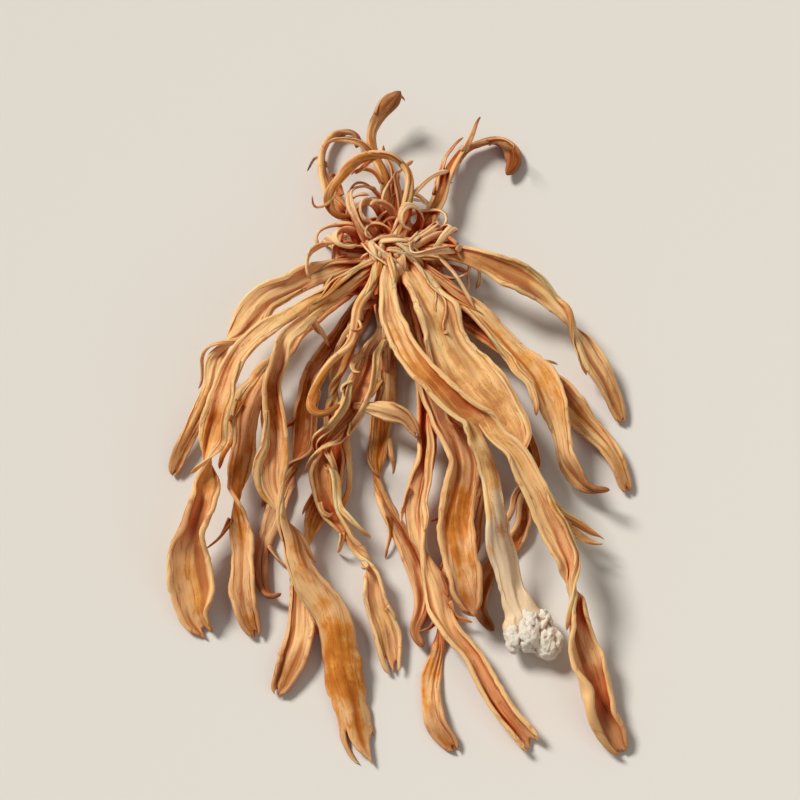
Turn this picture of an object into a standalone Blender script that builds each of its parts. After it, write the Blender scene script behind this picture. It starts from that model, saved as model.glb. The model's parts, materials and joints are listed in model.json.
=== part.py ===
"""Dried cordyceps: one tuft of flat, twisted stems that grew from a common base, lying on its side.

Metres, +Z up, the surface it lies on at z = 0. The base lies at the back (+Y) and most of the
stems fan out towards the front (-Y).
"""

import math
from collections import namedtuple

import bmesh
import bpy
from mathutils import Matrix, Vector, noise

MM = 0.001

# Driving dimensions, in millimetres
BASE_AT = (-1.28, 27.66)  # where the base stands, so that the whole tuft is centred on the origin
BASE_GRAIN = 0.4  # size of the even facets the joined base is given first
BASE_FACES = 1700  # and how many triangles of these its shape needs
UNEVEN = 0.16  # how far a lump of the base is uneven, as a share of its radius
UNEVEN_RATE = 1.9
GAP = 0.3  # between a stem and what it grows from
STATIONS_PER_SPAN = 2  # cross-sections between two knots of a route
FINE = 16  # steps per span when a length along a route is measured
NUDGE = 0.02  # share of a span over which a route's direction is measured
CUP_LEVEL = 0.35  # the middle of a cupped stem lies this share of its cup below its route
WANDER = 1.4  # how far a stem wanders off its smooth route
WANDER_RATE = 0.85
WANDER_SEEDS = (3.7, 5.1)  # how far apart the wanders of two stems, and of two values, lie
WIDTH_CHANGE = 0.3  # how far its width changes by the way, as a share
ROLL_CHANGE = 30.0  # how far it twists by the way, in degrees
FORK_RUN = 2.2  # how far a branch runs straight on from a fork
NECK_PLACES = (0.0, 0.55, 1.0)  # cross-sections of a stem's neck, as shares of its length
STUB_SHAPE = ((0.2, 1.0), (0.7, 0.9), (1.0, 1.15))  # places along a stub, and its width there
STUB_RISE = 0.12  # how far a stub points upwards
STUB_THICK = 1.8
STUB_TWIST = 25.0  # by which each stub is twisted more than the last, in degrees
STUB_CUP = 0.1
SHARP_EDGE = 50.0  # an edge sharper than this, in degrees, stays sharp
STEM_ROUGHNESS = 0.55
BASE_ROUGHNESS = 0.8

# Half a stem's cross-section: across (-1 to 1) and up (-1 to 1), with two grooves along its top
SECTION = (
    (-1.0, 0.0),
    (-0.76, 1.0),
    (-0.32, 0.45),
    (0.1, 0.9),
    (0.5, 0.4),
    (0.8, 1.0),
    (1.0, 0.0),
    (0.55, -0.95),
    (0.0, -0.5),
    (-0.6, -0.95),
)

# A knot of a route, in millimetres from the middle of the base's foot: place, width and
# thickness of the stem there, and how far it is turned about its own length, in degrees
Knot = namedtuple("Knot", "x y z width thick roll")
# root: length that stays part of the base. side: which half of its parent's end a branch grows
# from (+1 is the right-hand half in the direction of growth, seen from above, -1 the left one).
Stem = namedtuple("Stem", "name parent root side cup colour route")
# A stem's whole route, and the level it takes from its parent where it is a branch
Route = namedtuple("Route", "knots across")

STRAW = (0.78, 0.50, 0.24)
GOLD = (0.72, 0.40, 0.15)
AMBER = (0.62, 0.30, 0.09)
RUSSET = (0.45, 0.17, 0.05)
CREAM = (0.80, 0.66, 0.47)

STEMS = (
    Stem("stem_left", "base", 8.4, 0, 0.14, GOLD, (
        Knot(-1.0, 1.0, 6.0, 3.4, 1.8, 0),
        Knot(-5.9, -4.5, 8.6, 3.4, 1.4, -10),
        Knot(-11.6, -10.6, 11.8, 5.2, 1.3, -18),
        Knot(-17.0, -15.4, 13.0, 7.4, 1.3, -6),
    )),
    Stem("branch_left_outer", "stem_left", 0, 1, 0.14, GOLD, (
        Knot(-24.6, -20.4, 13.2, 3.7, 1.2, 10),
        Knot(-28.4, -28.0, 12.2, 4.0, 1.2, 26),
        Knot(-30.6, -36.0, 10.2, 4.8, 1.2, 10),
        Knot(-32.2, -43.6, 8.0, 5.4, 1.2, -14),
        Knot(-33.4, -51.8, 5.6, 6.2, 1.2, -24),
        Knot(-33.8, -59.5, 3.0, 6.8, 1.3, -4),
        Knot(-32.4, -65.4, 1.3, 5.8, 1.4, 6),
        Knot(-30.4, -69.4, 0.9, 3.0, 1.0, 14),
    )),
    Stem("branch_left_twisted", "stem_left", 0, -1, 0.14, AMBER, (
        Knot(-19.4, -21.8, 12.9, 3.8, 1.2, -14),
        Knot(-21.0, -29.6, 12.4, 5.0, 1.1, -26),
        Knot(-20.4, -37.4, 11.0, 5.4, 1.1, -6),
        Knot(-19.6, -44.6, 9.6, 4.4, 1.1, 34),
        Knot(-18.6, -50.0, 8.6, 2.8, 1.2, 92),
        Knot(-16.0, -56.0, 7.4, 3.8, 1.1, 150),
        Knot(-12.8, -62.0, 6.2, 4.8, 1.1, 172),
        Knot(-10.0, -68.2, 5.0, 5.6, 1.1, 190),
        Knot(-8.6, -74.6, 3.4, 6.8, 1.2, 200),
        Knot(-7.2, -81.6, 1.9, 7.4, 1.3, 190),
        Knot(-5.0, -87.6, 1.1, 5.4, 1.3, 180),
        Knot(-3.2, -90.8, 0.8, 2.4, 0.9, 180),
    )),
    Stem("stem_left_upper", "base", 7.5, 0, 0.16, STRAW, (
        Knot(-2.0, 1.6, 4.6, 3.2, 1.8, 0),
        Knot(-9.0, -1.4, 6.4, 3.4, 1.4, -8),
        Knot(-17.0, -5.6, 8.4, 4.4, 1.3, -26),
        Knot(-24.4, -11.4, 8.4, 5.2, 1.2, -12),
        Knot(-30.0, -19.4, 6.8, 5.0, 1.2, 14),
        Knot(-34.0, -28.0, 4.4, 4.4, 1.2, 20),
        Knot(-37.4, -35.8, 2.0, 3.2, 1.1, 4),
        Knot(-38.4, -40.6, 0.9, 1.6, 0.9, 0),
    )),
    Stem("stem_left_under", "base", 7.5, 0, 0.16, AMBER, (
        Knot(-1.4, 0.4, 4.0, 3.2, 1.8, 0),
        Knot(-7.4, -5.0, 5.0, 3.2, 1.4, 12),
        Knot(-14.8, -12.4, 5.8, 4.0, 1.3, 20),
        Knot(-21.4, -21.4, 6.2, 4.6, 1.2, 4),
        Knot(-24.8, -30.4, 6.2, 5.2, 1.2, -18),
        Knot(-26.0, -39.4, 5.6, 5.4, 1.2, -26),
        Knot(-26.4, -49.4, 4.6, 5.2, 1.2, 4),
        Knot(-25.8, -58.0, 3.2, 4.8, 1.2, 22),
        Knot(-24.4, -65.0, 1.7, 3.8, 1.2, 8),
        Knot(-22.6, -69.6, 0.9, 2.0, 0.9, 0),
    )),
    Stem("stem_left_low", "base", 7.5, 0, 0.14, RUSSET, (
        Knot(-1.0, 0.4, 2.2, 3.0, 1.8, 0),
        Knot(-6.0, -7.0, 1.6, 2.8, 1.4, 0),
        Knot(-12.0, -16.4, 0.9, 3.2, 1.3, -10),
        Knot(-15.6, -27.0, 0.8, 3.8, 1.2, -14),
        Knot(-17.4, -38.0, 0.8, 3.8, 1.2, 8),
        Knot(-20.8, -48.0, 0.8, 3.4, 1.2, 12),
        Knot(-22.2, -56.0, 0.9, 2.6, 1.1, 0),
        Knot(-21.0, -62.4, 1.6, 1.8, 1.0, -30),
        Knot(-18.6, -62.6, 3.2, 1.2, 0.8, -50),
    )),
    Stem("stem_front_left", "base", 7.5, 0, 0.14, GOLD, (
        Knot(-0.8, 0.2, 3.0, 3.0, 1.8, 0),
        Knot(-4.4, -8.0, 3.6, 2.6, 1.4, 0),
        Knot(-9.0, -18.0, 3.2, 3.4, 1.3, 16),
        Knot(-10.6, -28.0, 2.8, 4.0, 1.2, 24),
        Knot(-9.6, -38.0, 2.4, 4.0, 1.2, -8),
        Knot(-13.0, -49.0, 2.4, 3.8, 1.2, -24),
        Knot(-15.4, -57.6, 2.4, 3.6, 1.2, -6),
        Knot(-15.0, -66.0, 2.0, 3.8, 1.2, 20),
        Knot(-16.4, -74.0, 1.3, 4.2, 1.2, 10),
        Knot(-19.0, -79.4, 0.8, 2.2, 1.0, 0),
    )),
    Stem("stem_middle_curly", "base", 8.6, 0, 0.0, GOLD, (
        Knot(-1.6, 0.4, 6.8, 2.4, 1.6, 0),
        Knot(-4.15, -8.4, 10.1, 2.0, 1.3, 10),
        Knot(-6.8, -14.2, 11.4, 1.8, 1.2, 40),
        Knot(-8.0, -20.0, 11.0, 1.8, 1.2, 80),
        Knot(-10.8, -24.0, 10.0, 1.6, 1.1, 120),
        Knot(-13.6, -27.6, 9.9, 1.6, 1.1, 160),
        Knot(-14.0, -31.6, 11.4, 1.5, 1.0, 190),
        Knot(-11.6, -34.4, 13.8, 1.4, 1.0, 220),
        Knot(-8.8, -33.2, 15.2, 0.9, 0.8, 230),
    )),
    Stem("stem_middle", "base", 8.0, 0, 0.16, STRAW, (
        Knot(-0.4, 0.6, 5.2, 3.2, 1.8, 0),
        Knot(-1.8, -7.0, 6.2, 3.0, 1.4, 6),
        Knot(-2.0, -13.6, 6.9, 3.4, 1.3, 18),
        Knot(-4.2, -20.6, 7.2, 4.2, 1.2, 4),
        Knot(-7.0, -28.6, 6.9, 4.8, 1.2, -20),
        Knot(-10.8, -35.0, 6.2, 4.6, 1.2, -40),
        Knot(-12.2, -41.4, 5.4, 5.4, 1.2, -14),
        Knot(-10.4, -47.6, 4.8, 4.4, 1.2, 24),
        Knot(-7.2, -52.0, 4.2, 3.4, 1.2, 60),
        Knot(-4.4, -57.2, 3.6, 3.4, 1.1, 30),
        Knot(-2.4, -63.6, 2.6, 3.8, 1.1, -6),
        Knot(-0.8, -70.0, 1.5, 4.2, 1.2, -14),
        Knot(0.2, -75.8, 0.9, 2.4, 1.0, 0),
    )),
    Stem("blade_middle", "stem_middle", 0, 0, 0.14, STRAW, (
        Knot(-4.83, -29.9, 7.2, 2.6, 1.0, 0),
        Knot(-2.2, -30.4, 7.8, 4.0, 1.0, 4),
        Knot(0.2, -31.2, 8.2, 4.6, 1.0, 12),
        Knot(2.6, -33.0, 7.8, 3.2, 0.9, 20),
        Knot(4.6, -36.0, 6.9, 1.0, 0.8, 24),
    )),
    Stem("stem_middle_low", "base", 7.5, 0, 0.14, AMBER, (
        Knot(-0.4, 0.4, 2.0, 3.0, 1.8, 0),
        Knot(-1.8, -8.0, 1.4, 2.6, 1.3, 0),
        Knot(-0.8, -18.0, 0.8, 3.0, 1.2, 10),
        Knot(-2.4, -30.0, 0.8, 3.4, 1.2, 14),
        Knot(-3.0, -41.0, 0.8, 3.6, 1.2, -10),
        Knot(1.2, -51.0, 0.8, 3.4, 1.2, -14),
        Knot(4.4, -60.4, 0.8, 3.0, 1.1, 6),
        Knot(3.4, -67.6, 1.0, 2.2, 1.0, 30),
        Knot(5.2, -71.6, 2.4, 1.4, 0.9, 60),
    )),
    Stem("stem_front_long", "base", 7.5, 0, 0.18, GOLD, (
        Knot(0.6, 0.4, 3.6, 3.2, 1.8, 0),
        Knot(1.4, -8.4, 4.0, 3.0, 1.4, -6),
        Knot(3.6, -17.0, 4.4, 3.4, 1.3, -20),
        Knot(6.4, -27.4, 4.6, 4.0, 1.2, -6),
        Knot(6.2, -37.0, 4.6, 4.2, 1.2, 20),
        Knot(5.0, -47.4, 4.2, 4.0, 1.2, 34),
        Knot(5.6, -56.2, 3.6, 4.2, 1.2, 10),
        Knot(8.0, -65.0, 3.1, 4.2, 1.2, -18),
        Knot(12.2, -73.4, 2.6, 4.2, 1.2, -26),
        Knot(18.0, -81.6, 1.8, 4.8, 1.2, -8),
        Knot(22.8, -87.8, 1.0, 4.4, 1.3, 0),
    )),
    Stem("stem_front_right", "base", 8.4, 0, 0.14, AMBER, (
        Knot(1.2, 0.0, 3.2, 3.0, 1.8, 0),
        Knot(4.9, -8.2, 3.3, 2.6, 1.4, 0),
        Knot(8.6, -17.0, 2.6, 3.2, 1.3, -14),
        Knot(12.4, -27.0, 2.6, 3.8, 1.2, -20),
        Knot(14.4, -38.0, 2.6, 4.0, 1.2, 6),
        Knot(12.6, -48.0, 2.2, 3.8, 1.2, 18),
        Knot(9.6, -57.0, 1.2, 3.4, 1.2, 0),
        Knot(8.4, -66.0, 0.8, 3.2, 1.1, -8),
        Knot(6.4, -76.0, 0.8, 3.6, 1.2, -12),
        Knot(7.4, -84.0, 0.8, 3.4, 1.2, 8),
        Knot(10.4, -88.6, 0.8, 1.8, 0.9, 10),
    )),
    Stem("stem_right_inner", "base", 8.0, 0, 0.12, AMBER, (
        Knot(0.8, 0.4, 5.2, 3.2, 1.8, 0),
        Knot(2.2, -9.4, 6.2, 2.8, 1.4, 4),
        Knot(4.4, -18.4, 7.2, 3.6, 1.3, 16),
        Knot(8.2, -29.4, 8.1, 5.2, 1.2, 6),
        Knot(10.8, -38.8, 7.8, 6.6, 1.2, -14),
        Knot(11.2, -48.8, 7.0, 7.2, 1.2, -20),
        Knot(11.6, -57.0, 6.4, 6.8, 1.2, -4),
        Knot(12.8, -63.4, 6.2, 5.2, 1.3, 12),
        Knot(13.8, -67.6, 6.4, 2.8, 1.0, 20),
    )),
    Stem("stem_right", "base", 8.0, 0, 0.16, GOLD, (
        Knot(-0.2, 0.4, 7.2, 3.0, 1.8, 0),
        Knot(-1.0, -8.4, 10.6, 3.0, 1.4, 8),
        Knot(-0.2, -14.4, 12.4, 3.4, 1.3, 22),
        Knot(3.4, -23.6, 14.4, 4.0, 1.2, 30),
        Knot(7.4, -30.0, 15.4, 4.6, 1.2, 16),
        Knot(12.2, -35.0, 15.2, 6.4, 1.2, 4),
        Knot(14.4, -37.4, 14.8, 7.2, 1.3, 2),
    )),
    Stem("branch_right_outer", "stem_right", 0, -1, 0.16, GOLD, (
        Knot(20.6, -41.8, 13.8, 3.7, 1.2, 12),
        Knot(24.4, -48.0, 12.4, 4.0, 1.2, 28),
        Knot(27.6, -55.2, 10.4, 4.2, 1.2, 14),
        Knot(29.4, -63.8, 7.8, 4.8, 1.2, -12),
        Knot(30.4, -71.6, 5.4, 5.8, 1.2, -24),
        Knot(32.0, -78.0, 3.4, 6.4, 1.2, -8),
        Knot(34.4, -83.8, 1.8, 5.6, 1.3, 4),
        Knot(37.2, -89.0, 0.9, 2.6, 1.0, 8),
    )),
    Stem("branch_right_pale", "stem_right", 0, 1, 0.12, STRAW, (
        Knot(16.4, -44.8, 12.8, 3.8, 1.2, -10),
        Knot(17.4, -51.0, 10.8, 5.4, 1.2, -26),
        Knot(18.8, -57.6, 8.2, 6.4, 1.3, -14),
        Knot(20.4, -63.4, 5.3, 5.8, 2.0, 0),
        Knot(22.2, -67.6, 3.4, 6.8, 4.6, 6),
        Knot(23.6, -71.4, 2.7, 7.2, 5.6, 8),
        Knot(24.8, -74.8, 2.2, 4.2, 3.2, 8),
    )),
    Stem("stem_right_wide", "base", 7.5, 0, 0.2, STRAW, (
        Knot(1.8, 0.4, 6.4, 3.6, 1.8, 0),
        Knot(5.4, -8.0, 8.8, 5.0, 1.4, -8),
        Knot(8.8, -15.4, 10.4, 8.4, 1.3, -14),
        Knot(12.4, -24.0, 11.4, 9.8, 1.3, -10),
        Knot(16.4, -32.0, 11.2, 9.2, 1.3, 4),
        Knot(20.8, -38.6, 10.0, 6.6, 1.2, 26),
        Knot(23.8, -44.4, 8.6, 4.4, 1.2, 48),
        Knot(27.2, -49.6, 7.0, 4.0, 1.2, 20),
        Knot(31.6, -52.8, 5.6, 4.8, 1.2, -14),
        Knot(35.8, -54.2, 5.2, 2.4, 0.9, -20),
    )),
    Stem("stem_right_short", "base", 7.5, 0, 0.2, GOLD, (
        Knot(2.2, 0.8, 5.4, 3.2, 1.8, 0),
        Knot(9.2, -5.6, 6.6, 3.0, 1.4, -8),
        Knot(17.0, -13.4, 7.6, 4.2, 1.3, -26),
        Knot(24.0, -21.8, 8.0, 5.0, 1.2, -10),
        Knot(28.4, -31.0, 7.4, 4.6, 1.2, 24),
        Knot(30.0, -39.4, 5.8, 3.8, 1.2, 60),
        Knot(33.6, -44.6, 5.0, 2.8, 1.1, 90),
        Knot(37.0, -45.2, 6.4, 1.4, 0.9, 110),
    )),
    Stem("stem_right_upper", "base", 7.5, 0, 0.18, STRAW, (
        Knot(2.2, 1.4, 6.4, 3.2, 1.8, 0),
        Knot(9.4, 0.4, 8.6, 3.2, 1.4, 8),
        Knot(16.8, -2.4, 9.8, 4.4, 1.3, 26),
        Knot(24.8, -6.8, 9.2, 5.2, 1.2, 10),
        Knot(31.2, -12.6, 7.2, 4.8, 1.2, -18),
        Knot(36.4, -20.2, 4.4, 4.2, 1.2, -10),
        Knot(39.6, -26.6, 2.0, 3.0, 1.1, 4),
        Knot(40.8, -30.6, 0.9, 1.6, 0.9, 8),
    )),
    Stem("stem_right_lower", "base", 7.5, 0, 0.18, GOLD, (
        Knot(1.8, 0.0, 4.0, 3.2, 1.8, 0),
        Knot(8.8, -5.6, 4.2, 3.2, 1.4, -6),
        Knot(16.8, -13.8, 4.6, 4.6, 1.3, -18),
        Knot(25.6, -22.2, 4.6, 5.4, 1.2, -8),
        Knot(33.6, -30.0, 3.8, 4.8, 1.2, 14),
        Knot(38.8, -37.4, 2.4, 3.8, 1.2, 8),
        Knot(41.0, -43.6, 1.0, 2.0, 1.0, 0),
    )),
    Stem("stem_right_low", "base", 7.5, 0, 0.14, RUSSET, (
        Knot(1.4, -0.2, 2.0, 3.0, 1.8, 0),
        Knot(7.2, -8.6, 1.4, 2.8, 1.3, 0),
        Knot(13.6, -19.0, 0.8, 3.2, 1.2, 12),
        Knot(20.4, -30.0, 0.8, 3.8, 1.2, 14),
        Knot(22.8, -42.0, 0.8, 3.8, 1.2, -8),
        Knot(20.8, -52.0, 0.8, 3.4, 1.2, -12),
        Knot(15.8, -59.4, 0.8, 2.8, 1.1, 0),
        Knot(14.8, -65.0, 0.9, 2.0, 1.0, 20),
        Knot(17.0, -68.6, 1.6, 1.2, 0.8, 40),
    )),
    Stem("stem_back_hook", "base", 7.5, 0, 0.0, AMBER, (
        Knot(0.4, 1.6, 6.4, 2.6, 1.6, 0),
        Knot(2.4, 9.4, 8.8, 2.2, 1.3, 20),
        Knot(3.2, 15.4, 10.0, 2.0, 1.2, 50),
        Knot(0.2, 20.2, 10.6, 2.0, 1.2, 90),
        Knot(-5.0, 19.6, 9.9, 2.1, 1.2, 130),
        Knot(-9.6, 17.2, 8.6, 2.0, 1.2, 160),
        Knot(-12.2, 12.6, 7.6, 1.9, 1.2, 180),
        Knot(-10.6, 8.6, 7.2, 1.5, 1.1, 200),
        Knot(-7.6, 8.4, 7.8, 0.9, 0.8, 200),
    )),
    Stem("stem_back_left", "base", 7.5, 0, 0.14, GOLD, (
        Knot(-1.6, 1.4, 4.2, 3.0, 1.8, 0),
        Knot(-7.2, 8.6, 4.2, 2.8, 1.3, 6),
        Knot(-10.8, 15.6, 3.8, 2.8, 1.2, 30),
        Knot(-13.6, 22.4, 3.0, 2.4, 1.2, 60),
        Knot(-13.6, 28.4, 2.0, 2.0, 1.1, 90),
        Knot(-10.4, 31.8, 1.4, 1.8, 1.1, 120),
        Knot(-7.0, 30.4, 1.4, 1.6, 1.0, 150),
        Knot(-7.2, 27.2, 2.2, 1.0, 0.8, 170),
    )),
    Stem("stem_back_middle", "base", 7.5, 0, 0.14, AMBER, (
        Knot(-0.6, 1.6, 3.2, 3.0, 1.8, 0),
        Knot(-0.6, 9.6, 3.2, 2.8, 1.3, 10),
        Knot(-1.4, 19.0, 3.0, 2.6, 1.2, 30),
        Knot(-3.6, 26.2, 3.8, 2.3, 1.2, 20),
        Knot(-3.2, 31.2, 5.6, 2.2, 1.3, 0),
        Knot(-0.8, 34.2, 7.8, 2.8, 2.1, 0),
        Knot(1.4, 35.4, 9.2, 1.4, 1.2, 0),
    )),
    Stem("stem_back_club", "base", 7.5, 0, 0.14, RUSSET, (
        Knot(1.4, 1.6, 4.2, 3.0, 1.8, 0),
        Knot(6.6, 9.2, 4.4, 2.8, 1.3, -6),
        Knot(10.0, 18.6, 3.8, 2.8, 1.2, -30),
        Knot(13.6, 26.0, 2.8, 2.5, 1.2, -50),
        Knot(18.4, 29.4, 1.8, 2.4, 1.2, -30),
        Knot(22.4, 27.6, 1.3, 2.8, 1.7, -10),
        Knot(23.2, 23.6, 1.5, 2.6, 1.7, 0),
        Knot(21.6, 21.2, 1.9, 1.0, 0.9, 0),
    )),
)

# The lumps that make up the base, in millimetres about its foot: middle and radii
LUMPS = (
    ((0.0, 0.4, 3.8), (6.6, 5.0, 5.2)),
    ((-4.6, 2.4, 3.6), (3.6, 3.0, 3.2)),
    ((4.4, 1.6, 4.6), (3.4, 3.2, 3.8)),
    ((1.4, 4.6, 2.8), (3.8, 2.6, 3.0)),
    ((-0.6, -3.0, 6.6), (4.2, 2.8, 2.8)),
)

# Short cut stubs on the base: direction round it, height of their middle, length, width
STUBS = (
    (28.0, 7.6, 9.0, 3.2),
    (74.0, 7.2, 8.0, 3.6),
    (164.0, 4.6, 10.0, 3.4),
    (348.0, 3.2, 9.5, 2.8),
)


def clear_scene():
    for obj in list(bpy.data.objects):
        bpy.data.objects.remove(obj, do_unlink=True)


def make_material(name, colour, roughness):
    material = bpy.data.materials.new(name)
    material.use_nodes = True
    shader = material.node_tree.nodes["Principled BSDF"]
    shader.inputs["Base Color"].default_value = (*colour, 1.0)
    shader.inputs["Roughness"].default_value = roughness
    shader.inputs["Metallic"].default_value = 0.0
    return material


def add_object(name, bm, material):
    mesh = bpy.data.meshes.new(name)
    bmesh.ops.recalc_face_normals(bm, faces=bm.faces)
    bm.to_mesh(mesh)
    bm.free()
    mesh.shade_smooth()
    mesh.set_sharp_from_angle(angle=math.radians(SHARP_EDGE))
    mesh.materials.append(material)
    obj = bpy.data.objects.new(name, mesh)
    bpy.context.scene.collection.objects.link(obj)
    return obj


def between(knots, at):
    """The knot at a place along a route: 0 is its first knot, 1 its second, and so on."""
    last = len(knots) - 1
    span = min(int(at), last - 1)
    t = at - span
    before, start, end, after = (knots[min(max(span + i, 0), last)] for i in (-1, 0, 1, 2))
    values = []
    for a, b, c, d in zip(before, start, end, after):
        curve = (2 * a - 5 * b + 4 * c - d) * t**2 + (3 * b - a - 3 * c + d) * t**3
        values.append(b + 0.5 * ((c - a) * t + curve))
    return Knot(*values)


def lively(knots, at, seed):
    """The knot at a place, wandering a little in place, width and roll, but not near the ends."""
    knot = between(knots, at)
    free = max(0.0, min(1.0, at - 1, len(knots) - 1 - at))
    apart, further = WANDER_SEEDS
    drift = []
    for i in range(5):
        spot = Vector((at * WANDER_RATE, seed * apart, i * further))
        drift.append(free * noise.noise(spot))
    return Knot(
        knot.x + WANDER * drift[0],
        knot.y + WANDER * drift[1],
        knot.z + WANDER * drift[2] / 2,
        knot.width * (1 + WIDTH_CHANGE * drift[3]),
        knot.thick,
        knot.roll + ROLL_CHANGE * drift[4],
    )


def places_of(knots, first=0.0):
    """Evenly spread places along a route from one place to its end."""
    spans = len(knots) - 1
    count = max(1, round((spans - first) * STATIONS_PER_SPAN))
    return [first + (spans - first) * i / count for i in range(count + 1)]


def place_at_length(knots, length):
    """The place where a route is this long, in millimetres."""
    spans = len(knots) - 1
    here = Vector(between(knots, 0)[:3])
    for i in range(1, spans * FINE + 1):
        at = i / FINE
        there = Vector(between(knots, at)[:3])
        step = (there - here).length
        if step >= length:
            return at - (1 - length / step) / FINE
        length -= step
        here = there
    raise ValueError("the route is shorter than that")


def direction_at(knots, at):
    spans = len(knots) - 1
    low = max(0.0, at - NUDGE)
    high = min(float(spans), at + NUDGE)
    return (Vector(between(knots, high)[:3]) - Vector(between(knots, low)[:3])).normalized()


def frames_of(knots, places, across=None):
    """(direction, width direction, upward direction) at each place, before the stem's own roll.

    The width direction starts level, or as given, and is then carried along with no twist.
    """
    along = direction_at(knots, 0)
    if across is None:
        across = along.cross(Vector((0, 0, 1))).normalized()
    frames = []
    steps = sorted(set([i / FINE for i in range((len(knots) - 1) * FINE + 1)] + list(places)))
    for at in steps:
        turned = direction_at(knots, at)
        across = along.rotation_difference(turned) @ across
        across = (across - across.dot(turned) * turned).normalized()
        along = turned
        if at in places:
            frames.append((along.copy(), across.copy(), across.cross(along)))
    return frames


def rolled(frame, knot):
    """The frame's width and upward directions, turned by the knot's roll."""
    along, across, up = frame
    turn = Matrix.Rotation(math.radians(knot.roll), 3, along)
    return turn @ across, turn @ up


def section_points(knot, frame, cup):
    """One cross-section of a stem, in millimetres. What would reach below the surface lies on it."""
    across, up = rolled(frame, knot)
    middle = Vector((knot.x, knot.y, knot.z))
    points = []
    for side, height in SECTION:
        lift = height * knot.thick / 2 + cup * knot.width * (side * side - CUP_LEVEL)
        point = middle + across * (side * knot.width / 2) + up * lift
        points.append(Vector((point.x, point.y, max(point.z, 0.0))))
    return points


def sweep(bm, knots, places, cup, seed, across=None):
    """Adds a closed solid along a route to the mesh."""
    rings = []
    for at, frame in zip(places, frames_of(knots, places, across)):
        points = section_points(lively(knots, at, seed), frame, cup)
        rings.append([bm.verts.new(in_place(p)) for p in points])
    for ring, following in zip(rings, rings[1:]):
        for i in range(len(ring)):
            j = (i + 1) % len(ring)
            bm.faces.new((ring[i], ring[j], following[j], following[i]))
    for end in (rings[0], rings[-1]):
        bm.faces.new(end)


def in_place(point):
    """From millimetres about the base's foot to metres in the object's frame."""
    return Vector((point[0] + BASE_AT[0], point[1] + BASE_AT[1], point[2])) * MM


def fork_start(parent, side, width):
    """The first knots of a branch at its parent's end, and the parent's width direction there."""
    last = len(parent.knots) - 1
    end = parent.knots[last]
    frame = frames_of(parent.knots, [float(last)], parent.across)[0]
    wide = rolled(frame, end)[0]
    start = Vector(end[:3]) + frame[0] * GAP + wide * side * (end.width - width) / 2
    onward = start + frame[0] * FORK_RUN
    return [Knot(*point, width, end.thick, 0) for point in (start, onward)], wide


def grown_route(stem, grown):
    """The knots of a stem, with the start that a branch takes from its parent."""
    if not stem.side:
        return Route(list(stem.route), None)
    parent = grown[stem.parent]
    width = (parent.knots[-1].width - GAP) / 2
    start, across = fork_start(parent, stem.side, width)
    return Route(start + list(stem.route), across)


def seed_of(stem):
    """A number that makes each stem wander in its own way."""
    return 1 + STEMS.index(stem)


def build_stem(stem, route):
    first = place_at_length(route.knots, stem.root + GAP) if stem.root else 0.0
    bm = bmesh.new()
    places = places_of(route.knots, first)
    sweep(bm, route.knots, places, stem.cup, seed_of(stem), route.across)
    return add_object(stem.name, bm, make_material(stem.name, stem.colour, STEM_ROUGHNESS))


def lump_of(number, middle, radii, material):
    """One uneven lump of the base."""
    bm = bmesh.new()
    bmesh.ops.create_uvsphere(bm, u_segments=10, v_segments=6, radius=1.0)
    for vert in bm.verts:
        out = vert.co.copy()
        uneven = 1 + UNEVEN * noise.noise(out * UNEVEN_RATE + Vector(middle))
        vert.co = in_place([m + r * c * uneven for m, r, c in zip(middle, radii, out)])
    return add_object(f"lump {number}", bm, material)


def neck_of(stem, route, material):
    """The first stretch of a stem, which is part of the base."""
    end = place_at_length(route.knots, stem.root)
    places = [end * share for share in NECK_PLACES]
    bm = bmesh.new()
    sweep(bm, route.knots, places, stem.cup, seed_of(stem))
    return add_object("neck of " + stem.name, bm, material)


def stub_of(number, stub, material):
    """A short stem that was cut off close to the base."""
    turn, height, length, width = stub
    way = Vector((math.cos(math.radians(turn)), math.sin(math.radians(turn)), STUB_RISE))
    knots = []
    for share, swell in STUB_SHAPE:
        place = way * length * share + Vector((0, 0, height))
        twist = STUB_TWIST * share * number
        knots.append(Knot(*place, width * swell, STUB_THICK, twist))
    bm = bmesh.new()
    sweep(bm, knots, range(len(knots)), STUB_CUP, number)
    return add_object(f"stub {number}", bm, material)


def join_into(target, pieces):
    """Makes the pieces one closed body with the target, and removes them."""
    for piece in pieces:
        union = target.modifiers.new("join " + piece.name, "BOOLEAN")
        union.operation = "UNION"
        union.object = piece
        target.data = applied_mesh(target)
        bpy.data.objects.remove(piece, do_unlink=True)


def applied_mesh(target):
    """The object's mesh with its modifiers applied, which are then removed."""
    evaluated = target.evaluated_get(bpy.context.evaluated_depsgraph_get())
    mesh = bpy.data.meshes.new_from_object(evaluated)
    target.modifiers.clear()
    return mesh


def simplify(target):
    """Blends the joined pieces into one even skin with no more facets than its shape needs."""
    even = target.modifiers.new("even skin", "REMESH")
    even.mode = "VOXEL"
    even.voxel_size = BASE_GRAIN * MM
    target.data = applied_mesh(target)
    fewer = target.modifiers.new("fewer faces", "DECIMATE")
    fewer.ratio = BASE_FACES / (2 * len(target.data.polygons))
    target.data = applied_mesh(target)


def flatten_foot(target):
    """Cuts the base off level where it lies, so that it has one flat face there."""
    bm = bmesh.new()
    bm.from_mesh(target.data)
    geometry = bm.verts[:] + bm.edges[:] + bm.faces[:]
    cut = bmesh.ops.bisect_plane(
        bm, geom=geometry, plane_co=(0, 0, 0), plane_no=(0, 0, 1), clear_inner=True
    )
    rim = [item for item in cut["geom_cut"] if isinstance(item, bmesh.types.BMEdge)]
    bmesh.ops.edgeloop_fill(bm, edges=rim)
    bmesh.ops.recalc_face_normals(bm, faces=bm.faces)
    bm.to_mesh(target.data)
    bm.free()


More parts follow.
